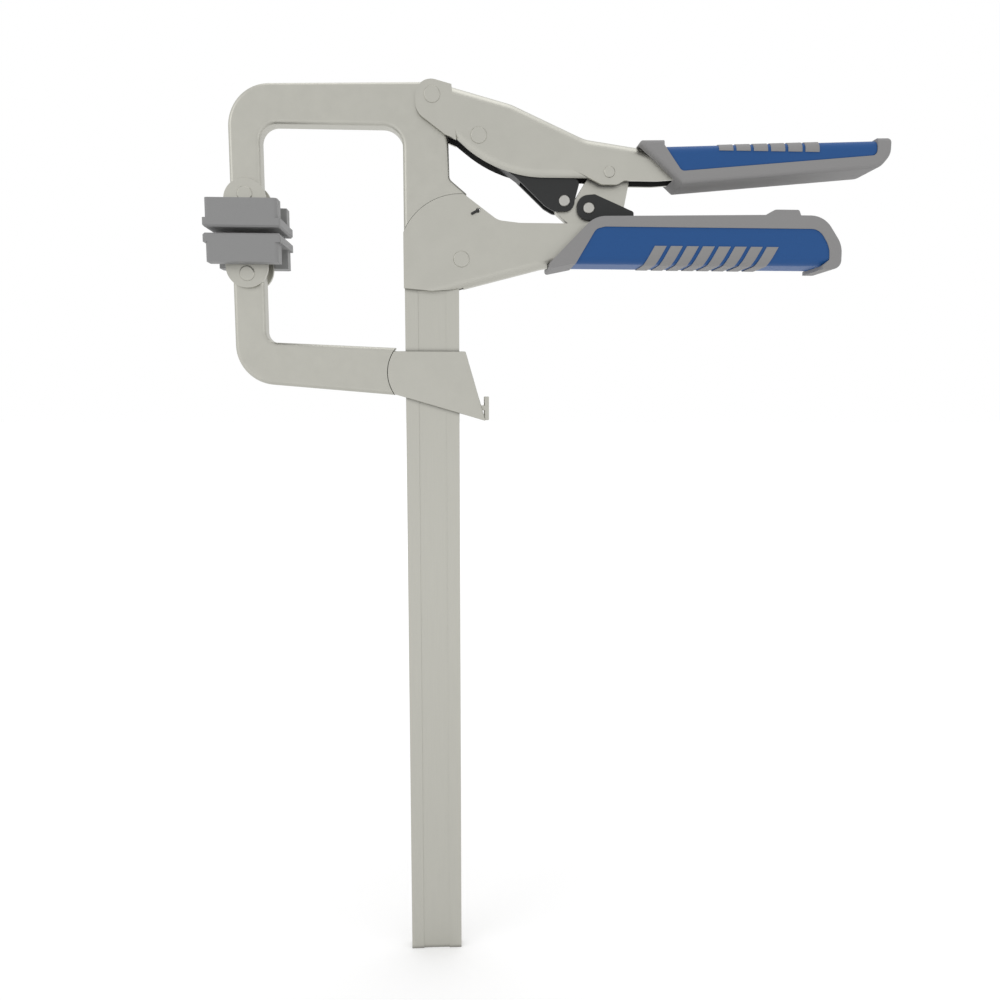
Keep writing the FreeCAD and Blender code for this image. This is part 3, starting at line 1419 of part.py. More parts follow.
for side, face, way, pin in (("upper", NONE, 1, s.pad_pin_up), ("lower", low_face, -1, low_pin)):
    clamp_pad(f"{side}_pad", face, way)
    clamp_shoe(f"{side}_pad_shoe", face, way, pin)
    rivet(f"{side}_pad_pin", NONE, pin, s.pad_pin_radius, s.head_mid, half_handle)

doc.recompute()
for item in doc.Objects:
    if "Invalid" in item.State or "Error" in item.State:
        raise RuntimeError(f"{item.Name} failed: {item.State}")

nodes = [item for item in doc.Objects if item.TypeId in ("PartDesign::Body", "Part::Feature")]
for node in nodes:
    if node.Shape.isNull() or not node.Shape.isValid():
        raise RuntimeError(f"{node.Label} has no valid shape")
for node in nodes:
    box = node.Shape.BoundBox
    node.Shape.exportStep(f"parts/{node.Label}.step")
    sizes = f"{box.XLength:.1f} x {box.YLength:.1f} x {box.ZLength:.1f}"
    print(f"{node.Label}: {len(node.Shape.Solids)} solid, {sizes}")
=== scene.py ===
import json
import math

import bmesh
import bpy
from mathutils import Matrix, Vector

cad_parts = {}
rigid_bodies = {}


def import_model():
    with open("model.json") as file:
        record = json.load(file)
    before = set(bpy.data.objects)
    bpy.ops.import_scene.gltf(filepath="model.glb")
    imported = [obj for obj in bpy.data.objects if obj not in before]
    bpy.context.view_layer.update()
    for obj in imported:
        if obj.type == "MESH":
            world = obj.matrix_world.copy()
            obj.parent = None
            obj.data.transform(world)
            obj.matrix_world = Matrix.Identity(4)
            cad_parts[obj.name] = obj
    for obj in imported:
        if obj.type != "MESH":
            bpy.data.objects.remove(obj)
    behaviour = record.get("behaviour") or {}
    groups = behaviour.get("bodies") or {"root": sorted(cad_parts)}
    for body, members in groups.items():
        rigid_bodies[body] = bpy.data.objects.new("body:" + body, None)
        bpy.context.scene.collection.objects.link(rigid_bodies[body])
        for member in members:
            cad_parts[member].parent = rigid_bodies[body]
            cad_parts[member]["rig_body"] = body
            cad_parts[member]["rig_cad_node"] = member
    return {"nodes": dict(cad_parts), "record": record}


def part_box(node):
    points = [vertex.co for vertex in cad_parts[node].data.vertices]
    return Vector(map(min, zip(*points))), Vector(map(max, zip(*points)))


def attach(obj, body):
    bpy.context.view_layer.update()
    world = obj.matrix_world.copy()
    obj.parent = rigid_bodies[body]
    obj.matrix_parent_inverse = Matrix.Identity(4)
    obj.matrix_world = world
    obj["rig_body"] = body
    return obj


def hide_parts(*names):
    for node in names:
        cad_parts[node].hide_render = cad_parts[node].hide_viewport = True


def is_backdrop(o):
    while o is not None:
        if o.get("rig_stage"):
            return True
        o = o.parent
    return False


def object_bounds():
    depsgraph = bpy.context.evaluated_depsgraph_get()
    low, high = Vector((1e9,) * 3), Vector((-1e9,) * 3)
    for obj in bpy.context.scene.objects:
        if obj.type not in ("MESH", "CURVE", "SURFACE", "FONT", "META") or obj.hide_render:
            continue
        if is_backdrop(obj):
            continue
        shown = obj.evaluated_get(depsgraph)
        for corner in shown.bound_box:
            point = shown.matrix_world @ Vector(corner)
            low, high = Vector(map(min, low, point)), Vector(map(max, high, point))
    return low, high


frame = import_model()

bl_info = {
    "name": "Quick release bar clamp",
    "version": (1, 0, 0),
    "blender": (4, 5, 0),
    "location": "View3D > Sidebar > Clamp",
    "description": "Finishes a locking bar clamp around its packed mechanism",
    "category": "Object",
}

MM = 0.001
# Corners closer than this are one corner, and faces that turn less than this are one face.
MERGE = 0.002 * MM
FLAT = math.radians(0.3)
# Shading stops at edges sharper than this, and edges sharper than the second angle are broken.
SHARP = math.radians(32)
BEVEL_FROM = math.radians(38)
# How much more a large face weighs in the shading than a small one, out of 100.
WEIGHT = 90
# Steps in the round of a rivet's head.
HEAD_STEPS = 4
# The round seam lies this far from the jaw pivot.
SEAM_FROM = 28 * MM
SEAM_TO = 30 * MM
# Painted shade: the bar's colour darkens where another piece is nearer than this, in millimetres.
PAINTED_SHADE_REACH = 2.5
PAINTED_SHADE_SAMPLES = 8
# The groove down the bar stays this far from the bar's sides, and its edges are left crisp.
FLUTE_MARGIN = 1 * MM
# The faces of the handle that lie inside its channel are less than this outside the frame's cheeks.
CHANNEL_GAP = 0.45 * MM
# The blocks that ribs are cut from: their height, how far they pass the core's sides, and the ribs' edge.
BLOCK_TALL = 9 * MM
BLOCK_OVER = 2 * MM
RIB_EDGE = 0.2 * MM
# Rows of ribs, in millimetres: the grip, whether the blocks' height is told from the core's low (0) or
# high (1) side, the first block's start from the core's left end, its bottom above that side, its length,
# the slant of its top, the pitch and the count.
RIB_ROWS = (
    ("lower_grip", 0, 31, -1, 5.4, 5, 7.4, 8),
    ("upper_grip", 1, 25, -6, 6.4, 0, 7.9, 6),
)
# Soft boxes: name, place with X from the clamp's middle, side, and the setting with their power.
# They stand to the sides and above, so that the flat faces do not mirror them.
SOFT_BOXES = (
    ("key_box", (-1.25, -0.75, 0.55), 0.9, "key_power"),
    ("fill_box", (1.35, -0.6, 0.0), 0.8, "fill_power"),
    ("top_box", (0.0, 0.1, 1.15), 0.9, "top_power"),
)
FLOOR_SIDE = 14
# The floor's own glow rises over this distance from its middle, between these strengths.
GLOW_RISE = {"From Min": 0.25, "From Max": 1.1, "To Min": 0.22, "To Max": 0.42}
# Width of the film in millimetres, and the camera's nearest and farthest sight in metres.
FILM_WIDTH = 36
SIGHT = (0.01, 50)
WHITE = (1, 1, 1, 1)


def linear(code):
    """An sRGB hex colour as the linear colour with alpha that a shader socket takes."""
    channels = [int(code[i:i + 2], 16) / 255 for i in (1, 3, 5)]
    return (*[c / 12.92 if c <= 0.04045 else ((c + 0.055) / 1.055) ** 2.4 for c in channels], 1.0)


def per_metre(millimetres):
    """A pattern's scale on Object coordinates, from its real spacing."""
    return 1000 / millimetres


# Sizes and colours that a user would change


class ClampFinish(bpy.types.PropertyGroup):
    """Colours and edge sizes of the clamp's own pieces, with the painted shade inside the handle's channel.
    """

    bar_colour: bpy.props.FloatVectorProperty(
        name="Bar steel", description="Nickel plate on the rolled bar", subtype="COLOR", size=4,
        default=linear("#b8b7af"), min=0, max=1)
    forged_colour: bpy.props.FloatVectorProperty(
        name="Forged steel", description="Nickel plate on the two jaw arms", subtype="COLOR", size=4,
        default=linear("#b7b6ae"), min=0, max=1)
    sheet_colour: bpy.props.FloatVectorProperty(
        name="Folded sheet", description="Nickel plate on the stamped and folded pieces", subtype="COLOR",
        size=4, default=linear("#b7b6ae"), min=0, max=1)
    rivet_colour: bpy.props.FloatVectorProperty(
        name="Rivet steel", description="Turned and peened rivets", subtype="COLOR", size=4,
        default=linear("#b6b5b0"), min=0, max=1)
    black_colour: bpy.props.FloatVectorProperty(
        name="Blackened steel", description="Strut and release lever", subtype="COLOR", size=4,
        default=linear("#292a2a"), min=0, max=1)
    # Painted shade: a near black colour for the inner faces of the upper handle, standing for the shade
    # inside its channel.
    channel_shade_colour: bpy.props.FloatVectorProperty(
        name="Painted channel shade", description="Inner faces of the upper handle", subtype="COLOR", size=4,
        default=linear("#2b2b2a"), min=0, max=1)
    wire_colour: bpy.props.FloatVectorProperty(
        name="Spring wire", description="Wire and leaf springs", subtype="COLOR", size=4,
        default=linear("#3a3a3a"), min=0, max=1)
    pad_colour: bpy.props.FloatVectorProperty(
        name="Pad nylon", description="Moulded swivel pads", subtype="COLOR", size=4,
        default=linear("#929292"), min=0, max=1)
    rubber_colour: bpy.props.FloatVectorProperty(
        name="Grip rubber", description="Soft grey rim of both grips", subtype="COLOR", size=4,
        default=linear("#949393"), min=0, max=1)
    core_colour: bpy.props.FloatVectorProperty(
        name="Grip core", description="Hard blue core of both grips", subtype="COLOR", size=4,
        default=linear("#144f8d"), min=0, max=1)
    bar_edge: bpy.props.FloatProperty(
        name="Bar edge", description="Broken edge of the rolled bar", unit="LENGTH",
        default=0.5 * MM, min=0.05 * MM, max=1 * MM)
    sheet_edge: bpy.props.FloatProperty(
        name="Sheet edge", description="Tumbled edge of the stamped sheet", unit="LENGTH",
        default=0.25 * MM, min=0.05 * MM, max=0.6 * MM)
    collar_edge: bpy.props.FloatProperty(
        name="Collar edge", description="Rolled over edge of the sliding collar", unit="LENGTH",
        default=0.5 * MM, min=0.05 * MM, max=0.8 * MM)
    peened_edge: bpy.props.FloatProperty(
        name="Peened edge", description="Round of the rivet heads", unit="LENGTH",
        default=0.45 * MM, min=0.05 * MM, max=0.6 * MM)
    moulded_edge: bpy.props.FloatProperty(
        name="Moulded edge", description="Edge of the moulded pads and grips", unit="LENGTH",
        default=0.35 * MM, min=0.05 * MM, max=1 * MM)
    rib_proud: bpy.props.FloatProperty(
        name="Rib height", description="Height of the grip ribs above the core", unit="LENGTH",
        default=0.6 * MM, min=0.2 * MM, max=2 * MM)


class ClampStudio(bpy.types.PropertyGroup):
    """Camera and lights."""

    camera_place: bpy.props.FloatVectorProperty(
        name="Camera", description="Camera in the clamp's own frame", subtype="TRANSLATION", unit="LENGTH",
        size=3, default=(0.09387, -0.41301, -0.07067))
    camera_tilt: bpy.props.FloatProperty(
        name="Tilt", description="Camera looks this far down", subtype="ANGLE", default=math.radians(7.28))
    camera_turn: bpy.props.FloatProperty(
        name="Turn", description="Camera looks this far to the right", subtype="ANGLE",
        default=math.radians(2.9))
    camera_roll: bpy.props.FloatProperty(
        name="Roll", description="Camera leans this far", subtype="ANGLE", default=math.radians(-0.12))
    camera_lens: bpy.props.FloatProperty(
        name="Lens", description="Focal length in millimetres on a 36 mm film", default=31.18,
        min=10, max=200)
    sky_level: bpy.props.FloatProperty(
        name="Sky", description="Light from all round on matt surfaces", default=0.78, min=0, max=2)
    key_power: bpy.props.FloatProperty(
        name="Key", description="Power of the large soft box, up and left", default=2.4, min=0, max=100)
    fill_power: bpy.props.FloatProperty(
        name="Fill", description="Power of the soft box on the right", default=0.9, min=0, max=100)
    top_power: bpy.props.FloatProperty(
        name="Top", description="Power of the soft box overhead", default=2.4, min=0, max=100)


def finish():
    """The clamp's colours and edges, as set in the scene."""
    return bpy.context.scene.clamp_finish


def studio():
    """The camera and lights, as set in the scene."""
    return bpy.context.scene.clamp_studio


# Selecting and finishing pieces


def deselect():
    """Leaves nothing selected and nothing active."""
    if bpy.context.object is not None and bpy.context.object.mode != "OBJECT":
        bpy.ops.object.mode_set(mode="OBJECT")
    bpy.ops.object.select_all(action="DESELECT")


def pick(piece):
    """Selects one object and makes it the active one."""
    deselect()
    piece.select_set(True)
    bpy.context.view_layer.objects.active = piece


def edit(piece):
    """Opens a piece in edit mode with nothing selected, and gives its mesh."""
    pick(piece)
    bpy.ops.object.mode_set(mode="EDIT")
    bpy.ops.mesh.select_all(action="DESELECT")
    return bmesh.from_edit_mesh(piece.data)


def done(piece):
    """Leaves edit mode."""
    bmesh.update_edit_mesh(piece.data)
    bpy.ops.object.mode_set(mode="OBJECT")


def apply_modifier(piece, kind, **settings):
    """Adds a modifier, sets it and applies it."""
    pick(piece)
    bpy.ops.object.modifier_add(type=kind)
    modifier = piece.modifiers[-1]
    for name, value in settings.items():
        setattr(modifier, name, value)
    bpy.ops.object.modifier_apply(modifier=modifier.name)


def smooth(piece):
    """Smooth shading that stops at real edges."""
    pick(piece)
    bpy.ops.object.shade_smooth_by_angle(angle=SHARP)


def round_the_jaw_seam(edge):
    """Tells an edge of the round seam between the jaw arm and the frame, which stays crisp."""
    pivot = joint_place("jaw_pivot")
    reach = [math.hypot(corner.co.x - pivot.x, corner.co.z - pivot.z) for corner in edge.verts]
    return all(SEAM_FROM < distance < SEAM_TO for distance in reach)


def beside_the_flute(edge):
    """Tells an edge of the shallow groove down the bar's faces, which the rolls leave crisp."""
    near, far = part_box("bar")
    return all(near.x + FLUTE_MARGIN < corner.co.x < far.x - FLUTE_MARGIN for corner in edge.verts)


def joint_place(name):
    """Where a joint of the mechanism stands."""
    joints = frame["record"]["behaviour"]["joints"]
    return Vector(next(joint["pos_m"] for joint in joints if joint["name"] == name))


def body_of(node):
    """The moving body that a node belongs to."""
    bodies = frame["record"]["behaviour"]["bodies"]
    return next(name for name, members in bodies.items() if node in members)


def take_over(node, edge, steps=2, crisp=None):
    """A merged copy of a mechanism node, its sharp edges broken as tumbling or the mould leaves them."""
    pick(frame["nodes"][node])
    bpy.ops.object.duplicate()
    piece = bpy.context.view_layer.objects.active
    bpy.ops.object.parent_clear(type="CLEAR_KEEP_TRANSFORM")
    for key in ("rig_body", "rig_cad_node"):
        if key in piece:
            del piece[key]
    piece.name = f"{node}_finished"
    edit(piece)
    bpy.ops.mesh.select_all(action="SELECT")
    bpy.ops.mesh.customdata_custom_splitnormals_clear()
    bpy.ops.mesh.remove_doubles(threshold=MERGE)
    bpy.ops.mesh.dissolve_limited(angle_limit=FLAT)
    bpy.ops.mesh.select_mode(type="EDGE")
    bpy.ops.mesh.select_all(action="DESELECT")
    mesh = bmesh.from_edit_mesh(piece.data)
    for line in mesh.edges:
        sharp = line.is_manifold and line.calc_face_angle(0) > BEVEL_FROM
        line.select_set(sharp and not (crisp and crisp(line)))
    bpy.ops.transform.edge_bevelweight(value=1)
    done(piece)
    if edge > 0:
        apply_modifier(piece, "BEVEL", width=edge, segments=steps, limit_method="WEIGHT",
                       use_clamp_overlap=True, harden_normals=False)
    smooth(piece)
    # Large flat faces keep their own normal, so the light on them stays even up to each round.
    apply_modifier(piece, "WEIGHTED_NORMAL", keep_sharp=True, weight=WEIGHT)
    return piece


def refinish(piece, material, wanted):
    """Gives the faces that are wanted, told by their middle and normal, a second material."""
    piece.data.materials.append(material)
    mesh = edit(piece)
    for face in mesh.faces:
        face.select_set(wanted(face.calc_center_median(), face.normal))
    piece.active_material_index = len(piece.data.materials) - 1
    bpy.ops.object.material_slot_assign()
    done(piece)


def inside_the_channel(middle, normal, half):
    """Tells a face inside a channel of this half width, where the shade is painted: it looks at the middle
    plane, or down.
    """
    inward = normal.y * middle.y < 0 and abs(normal.y) > 0.7
    return abs(middle.y) < half and (inward or normal.z < -0.5)


def hand_over(piece, node, material):
    """The piece rides where its node does, stands for it and takes its finish."""
    piece.data.materials.clear()
    piece.data.materials.append(material)
    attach(piece, body_of(node))
    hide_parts(node)
    return piece


# Materials


def add(tree, kind, settings=None, links=None):
    """Adds one shader node with its settings and its incoming links."""
    node = tree.nodes.new(kind)
    for name, value in (settings or {}).items():
        if isinstance(name, str) and hasattr(node, name):
            setattr(node, name, value)
        else:
            node.inputs[name].default_value = value
    for name, source in (links or {}).items():
        tree.links.new(source, node.inputs[name])
    return node


def new_material(name, colour, metallic, roughness):
    """A material with its tree and its Principled shader, both None where the material is made already."""
    material = bpy.data.materials.get(name)
    if material:
        return material, None, None
    material = bpy.data.materials.new(name)
    material.use_nodes = True
    shader = material.node_tree.nodes["Principled BSDF"]
    shader.inputs["Base Color"].default_value = colour
    shader.inputs["Metallic"].default_value = metallic
    shader.inputs["Roughness"].default_value = roughness
    return material, material.node_tree, shader


def varied(tree, shader, colour, noise, share):
    """Base colour that drifts a little darker and lighter with a noise."""
    dark = tuple(c * (1 - share) for c in colour[:3]) + (1,)
    light = tuple(min(1, c * (1 + share)) for c in colour[:3]) + (1,)
    ramp = add(tree, "ShaderNodeMix", {"data_type": "RGBA", 6: dark, 7: light}, {0: noise})
    tree.links.new(ramp.outputs[2], shader.inputs["Base Color"])
    return ramp.outputs[2]


def painted_seam_shade(tree, shader, base, reach):
    """Paints shade into a finish where another piece comes within this many millimetres: soft painted shadow
    lines along the seams.
    """
    sight = {"samples": PAINTED_SHADE_SAMPLES, "Distance": reach * MM}
    all_round = add(tree, "ShaderNodeAmbientOcclusion", sight)
    own = add(tree, "ShaderNodeAmbientOcclusion", {**sight, "only_local": True})
    # The piece's own steps count in both, so that only other pieces paint shade on it.
    other = add(tree, "ShaderNodeMath", {"operation": "DIVIDE"},
                {0: all_round.outputs["AO"], 1: own.outputs["AO"]})
    opened = add(tree, "ShaderNodeMapRange", {"From Min": 0.5, "From Max": 0.9, "To Min": 0.5, "To Max": 1.0},
                 {"Value": other.outputs[0]})
    shade = add(tree, "ShaderNodeMix", {"data_type": "RGBA", "blend_type": "MULTIPLY", 0: 1.0},
                {6: base, 7: opened.outputs[0]})
    tree.links.new(shade.outputs[2], shader.inputs["Base Color"])


def grained(tree, shader, spacing, depth, strength=1.0, stretch=(1, 1, 1), detail=3, base=None):
    """A fine relief from a noise of this spacing and depth in millimetres. Gives the noise and the normal."""
    place = add(tree, "ShaderNodeTexCoord")
    mapping = add(tree, "ShaderNodeMapping", {"Scale": stretch}, {0: place.outputs["Object"]})
    noise = add(tree, "ShaderNodeTexNoise",
                {"Scale": per_metre(spacing), "Detail": detail, "Roughness": 0.55},
                {"Vector": mapping.outputs[0]})
    bump = add(tree, "ShaderNodeBump", {"Strength": strength, "Distance": depth * MM},
               {"Height": noise.outputs[0]})
    if base is not None:
        tree.links.new(base, bump.inputs["Normal"])
    tree.links.new(bump.outputs[0], shader.inputs["Normal"])
    return noise.outputs[0], bump.outputs[0]


def between(tree, source, low, high):
    """Maps a 0 to 1 pattern to a range of roughness."""
    spread = add(tree, "ShaderNodeMapRange", {"To Min": low, "To Max": high}, {"Value": source})
    return spread.outputs[0]


def nickel_bar():
    """Cold rolled flat bar, nickel plated: fine rolling lines along Z, a satin sheen across them."""
    colour = finish().bar_colour
    material, tree, shader = new_material("nickel_plated_rolled_bar", colour, metallic=1.0, roughness=0.36)
    if tree:
        # Real rolling lines are about 0.1 mm apart; they are drawn at 0.5 mm so that they show.
        noise, _ = grained(tree, shader, spacing=0.5, depth=0.012, stretch=(1, 1, 0.02))
        base = varied(tree, shader, colour, noise, share=0.05)
        # Painted shade: the bar's colour darkens along the seams where other pieces stand near it.
        painted_seam_shade(tree, shader, base, PAINTED_SHADE_REACH)
        tree.links.new(between(tree, noise, low=0.32, high=0.44), shader.inputs["Roughness"])
    return material


def nickel_forging():
    """Forged steel, blasted, tumbled and nickel plated: soft pitted grain and a broad satin glow."""
    colour = finish().forged_colour
    material, tree, shader = new_material("nickel_plated_forging", colour, metallic=1.0, roughness=0.42)
    if tree:
        coarse, relief = grained(tree, shader, spacing=6.0, depth=0.05, strength=0.6, detail=2)
        fine, _ = grained(tree, shader, spacing=0.7, depth=0.018, detail=4, base=relief)
        varied(tree, shader, colour, coarse, share=0.05)
        tree.links.new(between(tree, fine, low=0.36, high=0.5), shader.inputs["Roughness"])
    return material


def nickel_sheet():
    """Stamped and folded sheet, nickel plated: flat, with a faint mottle and soft tumbled edges."""
    colour = finish().sheet_colour
    material, tree, shader = new_material("nickel_plated_sheet", colour, metallic=1.0, roughness=0.38)
    if tree:
        coarse, relief = grained(tree, shader, spacing=9.0, depth=0.03, strength=0.5, detail=2)
        fine, _ = grained(tree, shader, spacing=0.6, depth=0.010, detail=3, base=relief)
        varied(tree, shader, colour, coarse, share=0.04)
        tree.links.new(between(tree, fine, low=0.33, high=0.45), shader.inputs["Roughness"])
    return material


def painted_channel_shade():
    """Painted shade for the sheet inside the folded channel: a near black finish that stands for the shade
    there, so it reads deep.
    """
    colour = finish().channel_shade_colour
    material, tree, shader = new_material("mill_scale_inside", colour, metallic=0.2, roughness=0.6)
    if tree:
        noise, _ = grained(tree, shader, spacing=2.0, depth=0.02)
        varied(tree, shader, colour, noise, share=0.2)
    return material


def rivet_steel():
    """Turned steel with a peened head: smoother than the sheet, with faint hammer marks."""
    colour = finish().rivet_colour
    material, tree, shader = new_material("peened_rivet_steel", colour, metallic=1.0, roughness=0.34)
    if tree:
        noise, _ = grained(tree, shader, spacing=1.2, depth=0.015, detail=2)
        varied(tree, shader, colour, noise, share=0.06)
    return material


def spring_wire():
    """Oil tempered spring wire: dark, close to black, with a wet edge of light."""
    colour = finish().wire_colour
    material, tree, shader = new_material("oil_tempered_wire", colour, metallic=0.8, roughness=0.35)
    if tree:
        noise, _ = grained(tree, shader, spacing=0.5, depth=0.01)
        varied(tree, shader, colour, noise, share=0.15)
    return material


def blackened_steel():
    """Stamped steel, chemically blackened: almost black and satin, worn a little lighter."""
    colour = finish().black_colour
    material, tree, shader = new_material("blackened_steel", colour, metallic=0.35, roughness=0.45)
    if tree:
        noise, _ = grained(tree, shader, spacing=1.5, depth=0.02, detail=4)
        varied(tree, shader, colour, noise, share=0.18)
        tree.links.new(between(tree, noise, low=0.38, high=0.55), shader.inputs["Roughness"])
    return material


def pad_nylon():
    """Moulded nylon with a spark eroded mould texture: even, matt and slightly grainy grey."""
    colour = finish().pad_colour
    material, tree, shader = new_material("moulded_nylon_grey", colour, metallic=0.0, roughness=0.62)
    if tree:
        noise, _ = grained(tree, shader, spacing=0.6, depth=0.03, detail=3)
        varied(tree, shader, colour, noise, share=0.05)
    return material


def grip_rubber():
    """Thermoplastic rubber moulded over the handle: matt, soft and finely textured."""
    colour = finish().rubber_colour
    material, tree, shader = new_material("thermoplastic_rubber_grey", colour, metallic=0.0, roughness=0.7)
    if tree:
        noise, _ = grained(tree, shader, spacing=0.5, depth=0.03, detail=3)
        varied(tree, shader, colour, noise, share=0.05)
        shader.inputs["Specular IOR Level"].default_value = 0.35
    return material


def grip_core():
    """Moulded polypropylene, mid blue: smoother than the rubber, with a low satin sheen."""
    colour = finish().core_colour
    material, tree, shader = new_material("moulded_polypropylene_blue", colour, metallic=0.0, roughness=0.5)
    if tree:
        noise, _ = grained(tree, shader, spacing=0.7, depth=0.02, detail=3)
        varied(tree, shader, colour, noise, share=0.06)
        shader.inputs["Specular IOR Level"].default_value = 0.4
    return material


# Pieces, one operator for each group


class CLAMP_OT_bar(bpy.types.Operator):
    """Finishes the rolled bar"""

    bl_idname = "clamp.bar"
    bl_label = "Bar"

    def execute(self, context):
        hand_over(take_over("bar", finish().bar_edge, crisp=beside_the_flute), "bar", nickel_bar())
        return {"FINISHED"}


class CLAMP_OT_jaw_arms(bpy.types.Operator):
    """Finishes the two forged jaw arms"""

    bl_idname = "clamp.jaw_arms"
    bl_label = "Jaw arms"

    def execute(self, context):
        for node in ("upper_jaw_arm", "lower_jaw_arm"):
            piece = take_over(node, finish().sheet_edge, crisp=round_the_jaw_seam)
            hand_over(piece, node, nickel_forging())
        return {"FINISHED"}


class CLAMP_OT_folded_sheet(bpy.types.Operator):
    """Finishes the folded frame, the handle, the collar, the pad shoes and the toggle link"""

    bl_idname = "clamp.folded_sheet"
    bl_label = "Folded sheet"

    def execute(self, context):
        for node in ("handle_frame", "handle_lever", "slide_collar", "upper_pad_shoe", "lower_pad_shoe",
                     "toggle_link"):
            edge = finish().collar_edge if node == "slide_collar" else finish().sheet_edge
            piece = hand_over(take_over(node, edge, crisp=round_the_jaw_seam), node, nickel_sheet())
            if node == "handle_lever":
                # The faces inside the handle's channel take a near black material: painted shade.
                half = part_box("handle_frame")[1].y + CHANNEL_GAP
                refinish(piece, painted_channel_shade(), lambda at, normal: inside_the_channel(at, normal, half))
        return {"FINISHED"}


class CLAMP_OT_rivets(bpy.types.Operator):
    """Finishes the rivets, the adjusting screw and the locking plate"""

    bl_idname = "clamp.rivets"
    bl_label = "Rivets"
    # The other rivets are plated with the sheet that they hold, and hardly show in it.
    bright = ("strut_pin", "release_lever_pin", "adjuster_nut", "adjuster_screw", "adjuster_wheel")

    def execute(self, context):
        for node in ("jaw_pivot_pin", "handle_pivot_pin", "strut_guide_pin", "toggle_pin", "strut_pin",
                     "release_lever_pin", "upper_pad_pin", "lower_pad_pin", "adjuster_nut", "adjuster_screw",
                     "adjuster_wheel", "slide_lock_plate"):
            material = rivet_steel() if node in self.bright else nickel_sheet()
            hand_over(take_over(node, finish().peened_edge, HEAD_STEPS), node, material)
        return {"FINISHED"}


class CLAMP_OT_black_levers(bpy.types.Operator):
    """Finishes the blackened strut and release lever"""

    bl_idname = "clamp.black_levers"
    bl_label = "Black levers"

    def execute(self, context):
        for node in ("release_strut", "release_lever"):
            hand_over(take_over(node, finish().sheet_edge), node, blackened_steel())
        return {"FINISHED"}


class CLAMP_OT_springs(bpy.types.Operator):
    """Finishes the wire and leaf springs"""

    bl_idname = "clamp.springs"
    bl_label = "Springs"

    def execute(self, context):
        for node in ("jaw_return_spring", "slide_lock_spring"):
            hand_over(take_over(node, 0), node, spring_wire())
        return {"FINISHED"}


class CLAMP_OT_pads(bpy.types.Operator):
    """Finishes the two moulded swivel pads"""

    bl_idname = "clamp.pads"
    bl_label = "Pads"

    def execute(self, context):
        for node in ("upper_pad", "lower_pad"):
            hand_over(take_over(node, finish().moulded_edge), node, pad_nylon())
        return {"FINISHED"}


class CLAMP_OT_grips(bpy.types.Operator):
    """Finishes the grips: soft rims and hard cores"""

    bl_idname = "clamp.grips"
    bl_label = "Grips"

    def execute(self, context):
        for node in ("upper_grip_rim", "lower_grip_rim"):
            hand_over(take_over(node, finish().moulded_edge), node, grip_rubber())
        for node in ("upper_grip_core", "lower_grip_core"):
            hand_over(take_over(node, finish().moulded_edge), node, grip_core())
        return {"FINISHED"}


class CLAMP_OT_grip_ribs(bpy.types.Operator):
    """Raises plain ribs of rim rubber on the grips: slanted ones on the lower, blocks along the upper"""

    bl_idname = "clamp.grip_ribs"
    bl_label = "Grip ribs"

    def execute(self, context):
        for grip, corner, start, bottom, long, slant, pitch, count in RIB_ROWS:
            core = f"{grip}_core"
            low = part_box(core)[0]
            place = (low.x + start * MM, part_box(core)[corner].z + bottom * MM)
            row = self.row_of_blocks(f"{grip}_ribs", core, place, long * MM, slant * MM, pitch * MM, count)
            self.cut_by_core(row, core)
            row.data.materials.append(grip_rubber())
            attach(row, body_of(core))
        return {"FINISHED"}

    def row_of_blocks(self, name, core, place, long, slant, pitch, count):
        """Equal blocks in a row along X, right through the core, their tops pushed along by the slant."""
        width = (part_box(core)[1].y + BLOCK_OVER) * 2
        deselect()
        bpy.ops.mesh.primitive_cube_add(size=1, location=(place[0] + long / 2, 0, place[1] + BLOCK_TALL / 2),
                                        scale=(long, width, BLOCK_TALL))
        piece = bpy.context.object
        bpy.ops.object.transform_apply(location=True, rotation=True, scale=True)
        piece.name = name
        if slant:
            mesh = edit(piece)
            for face in mesh.faces:
                face.select_set(face.normal.z > 0.9)
            bpy.ops.transform.translate(value=(slant, 0, 0))
            done(piece)
        apply_modifier(piece, "ARRAY", count=count, use_relative_offset=False, use_constant_offset=True,
                       constant_offset_displace=(pitch, 0, 0))
        return piece

    def cut_by_core(self, piece, core):
        """Keeps what lies inside a grown copy of the core, so that each block stands a little proud of it."""
        grown = take_over(core, 0)
        edit(grown)
        bpy.ops.mesh.select_all(action="SELECT")
        bpy.ops.transform.shrink_fatten(value=finish().rib_proud)
        done(grown)
        apply_modifier(piece, "BOOLEAN", operation="INTERSECT", object=grown, solver="EXACT", use_self=True)
        if not piece.data.polygons:
            raise RuntimeError(f"{piece.name}: the cut left nothing of the blocks")
        pick(grown)
        bpy.ops.object.delete()
        apply_modifier(piece, "BEVEL", width=RIB_EDGE, segments=2, limit_method="ANGLE",
                       angle_limit=BEVEL_FROM, use_clamp_overlap=True)
        smooth(piece)


# Stage


def soft_box(name, place, aim, side, power):
    """A square area light that looks at a point."""
    bpy.ops.object.light_add(type="AREA", location=place)
    lamp = bpy.context.object
    lamp.name = name
    lamp.data.shape = "SQUARE"
    lamp.data.size = side
    lamp.data.energy = power
    lamp.rotation_euler = (Vector(aim) - Vector(place)).to_track_quat("-Z", "Y").to_euler()


def seen_directly(tree):
    """One for camera, glossy and transmission rays, and nothing for the rays that light matt surfaces."""
    rays = add(tree, "ShaderNodeLightPath")
    mirrored = add(tree, "ShaderNodeMath", {"operation": "MAXIMUM"},
                   {0: rays.outputs["Is Camera Ray"], 1: rays.outputs["Is Glossy Ray"]})
    return add(tree, "ShaderNodeMath", {"operation": "MAXIMUM"},
               {0: mirrored.outputs[0], 1: rays.outputs["Is Transmission Ray"]}).outputs[0]


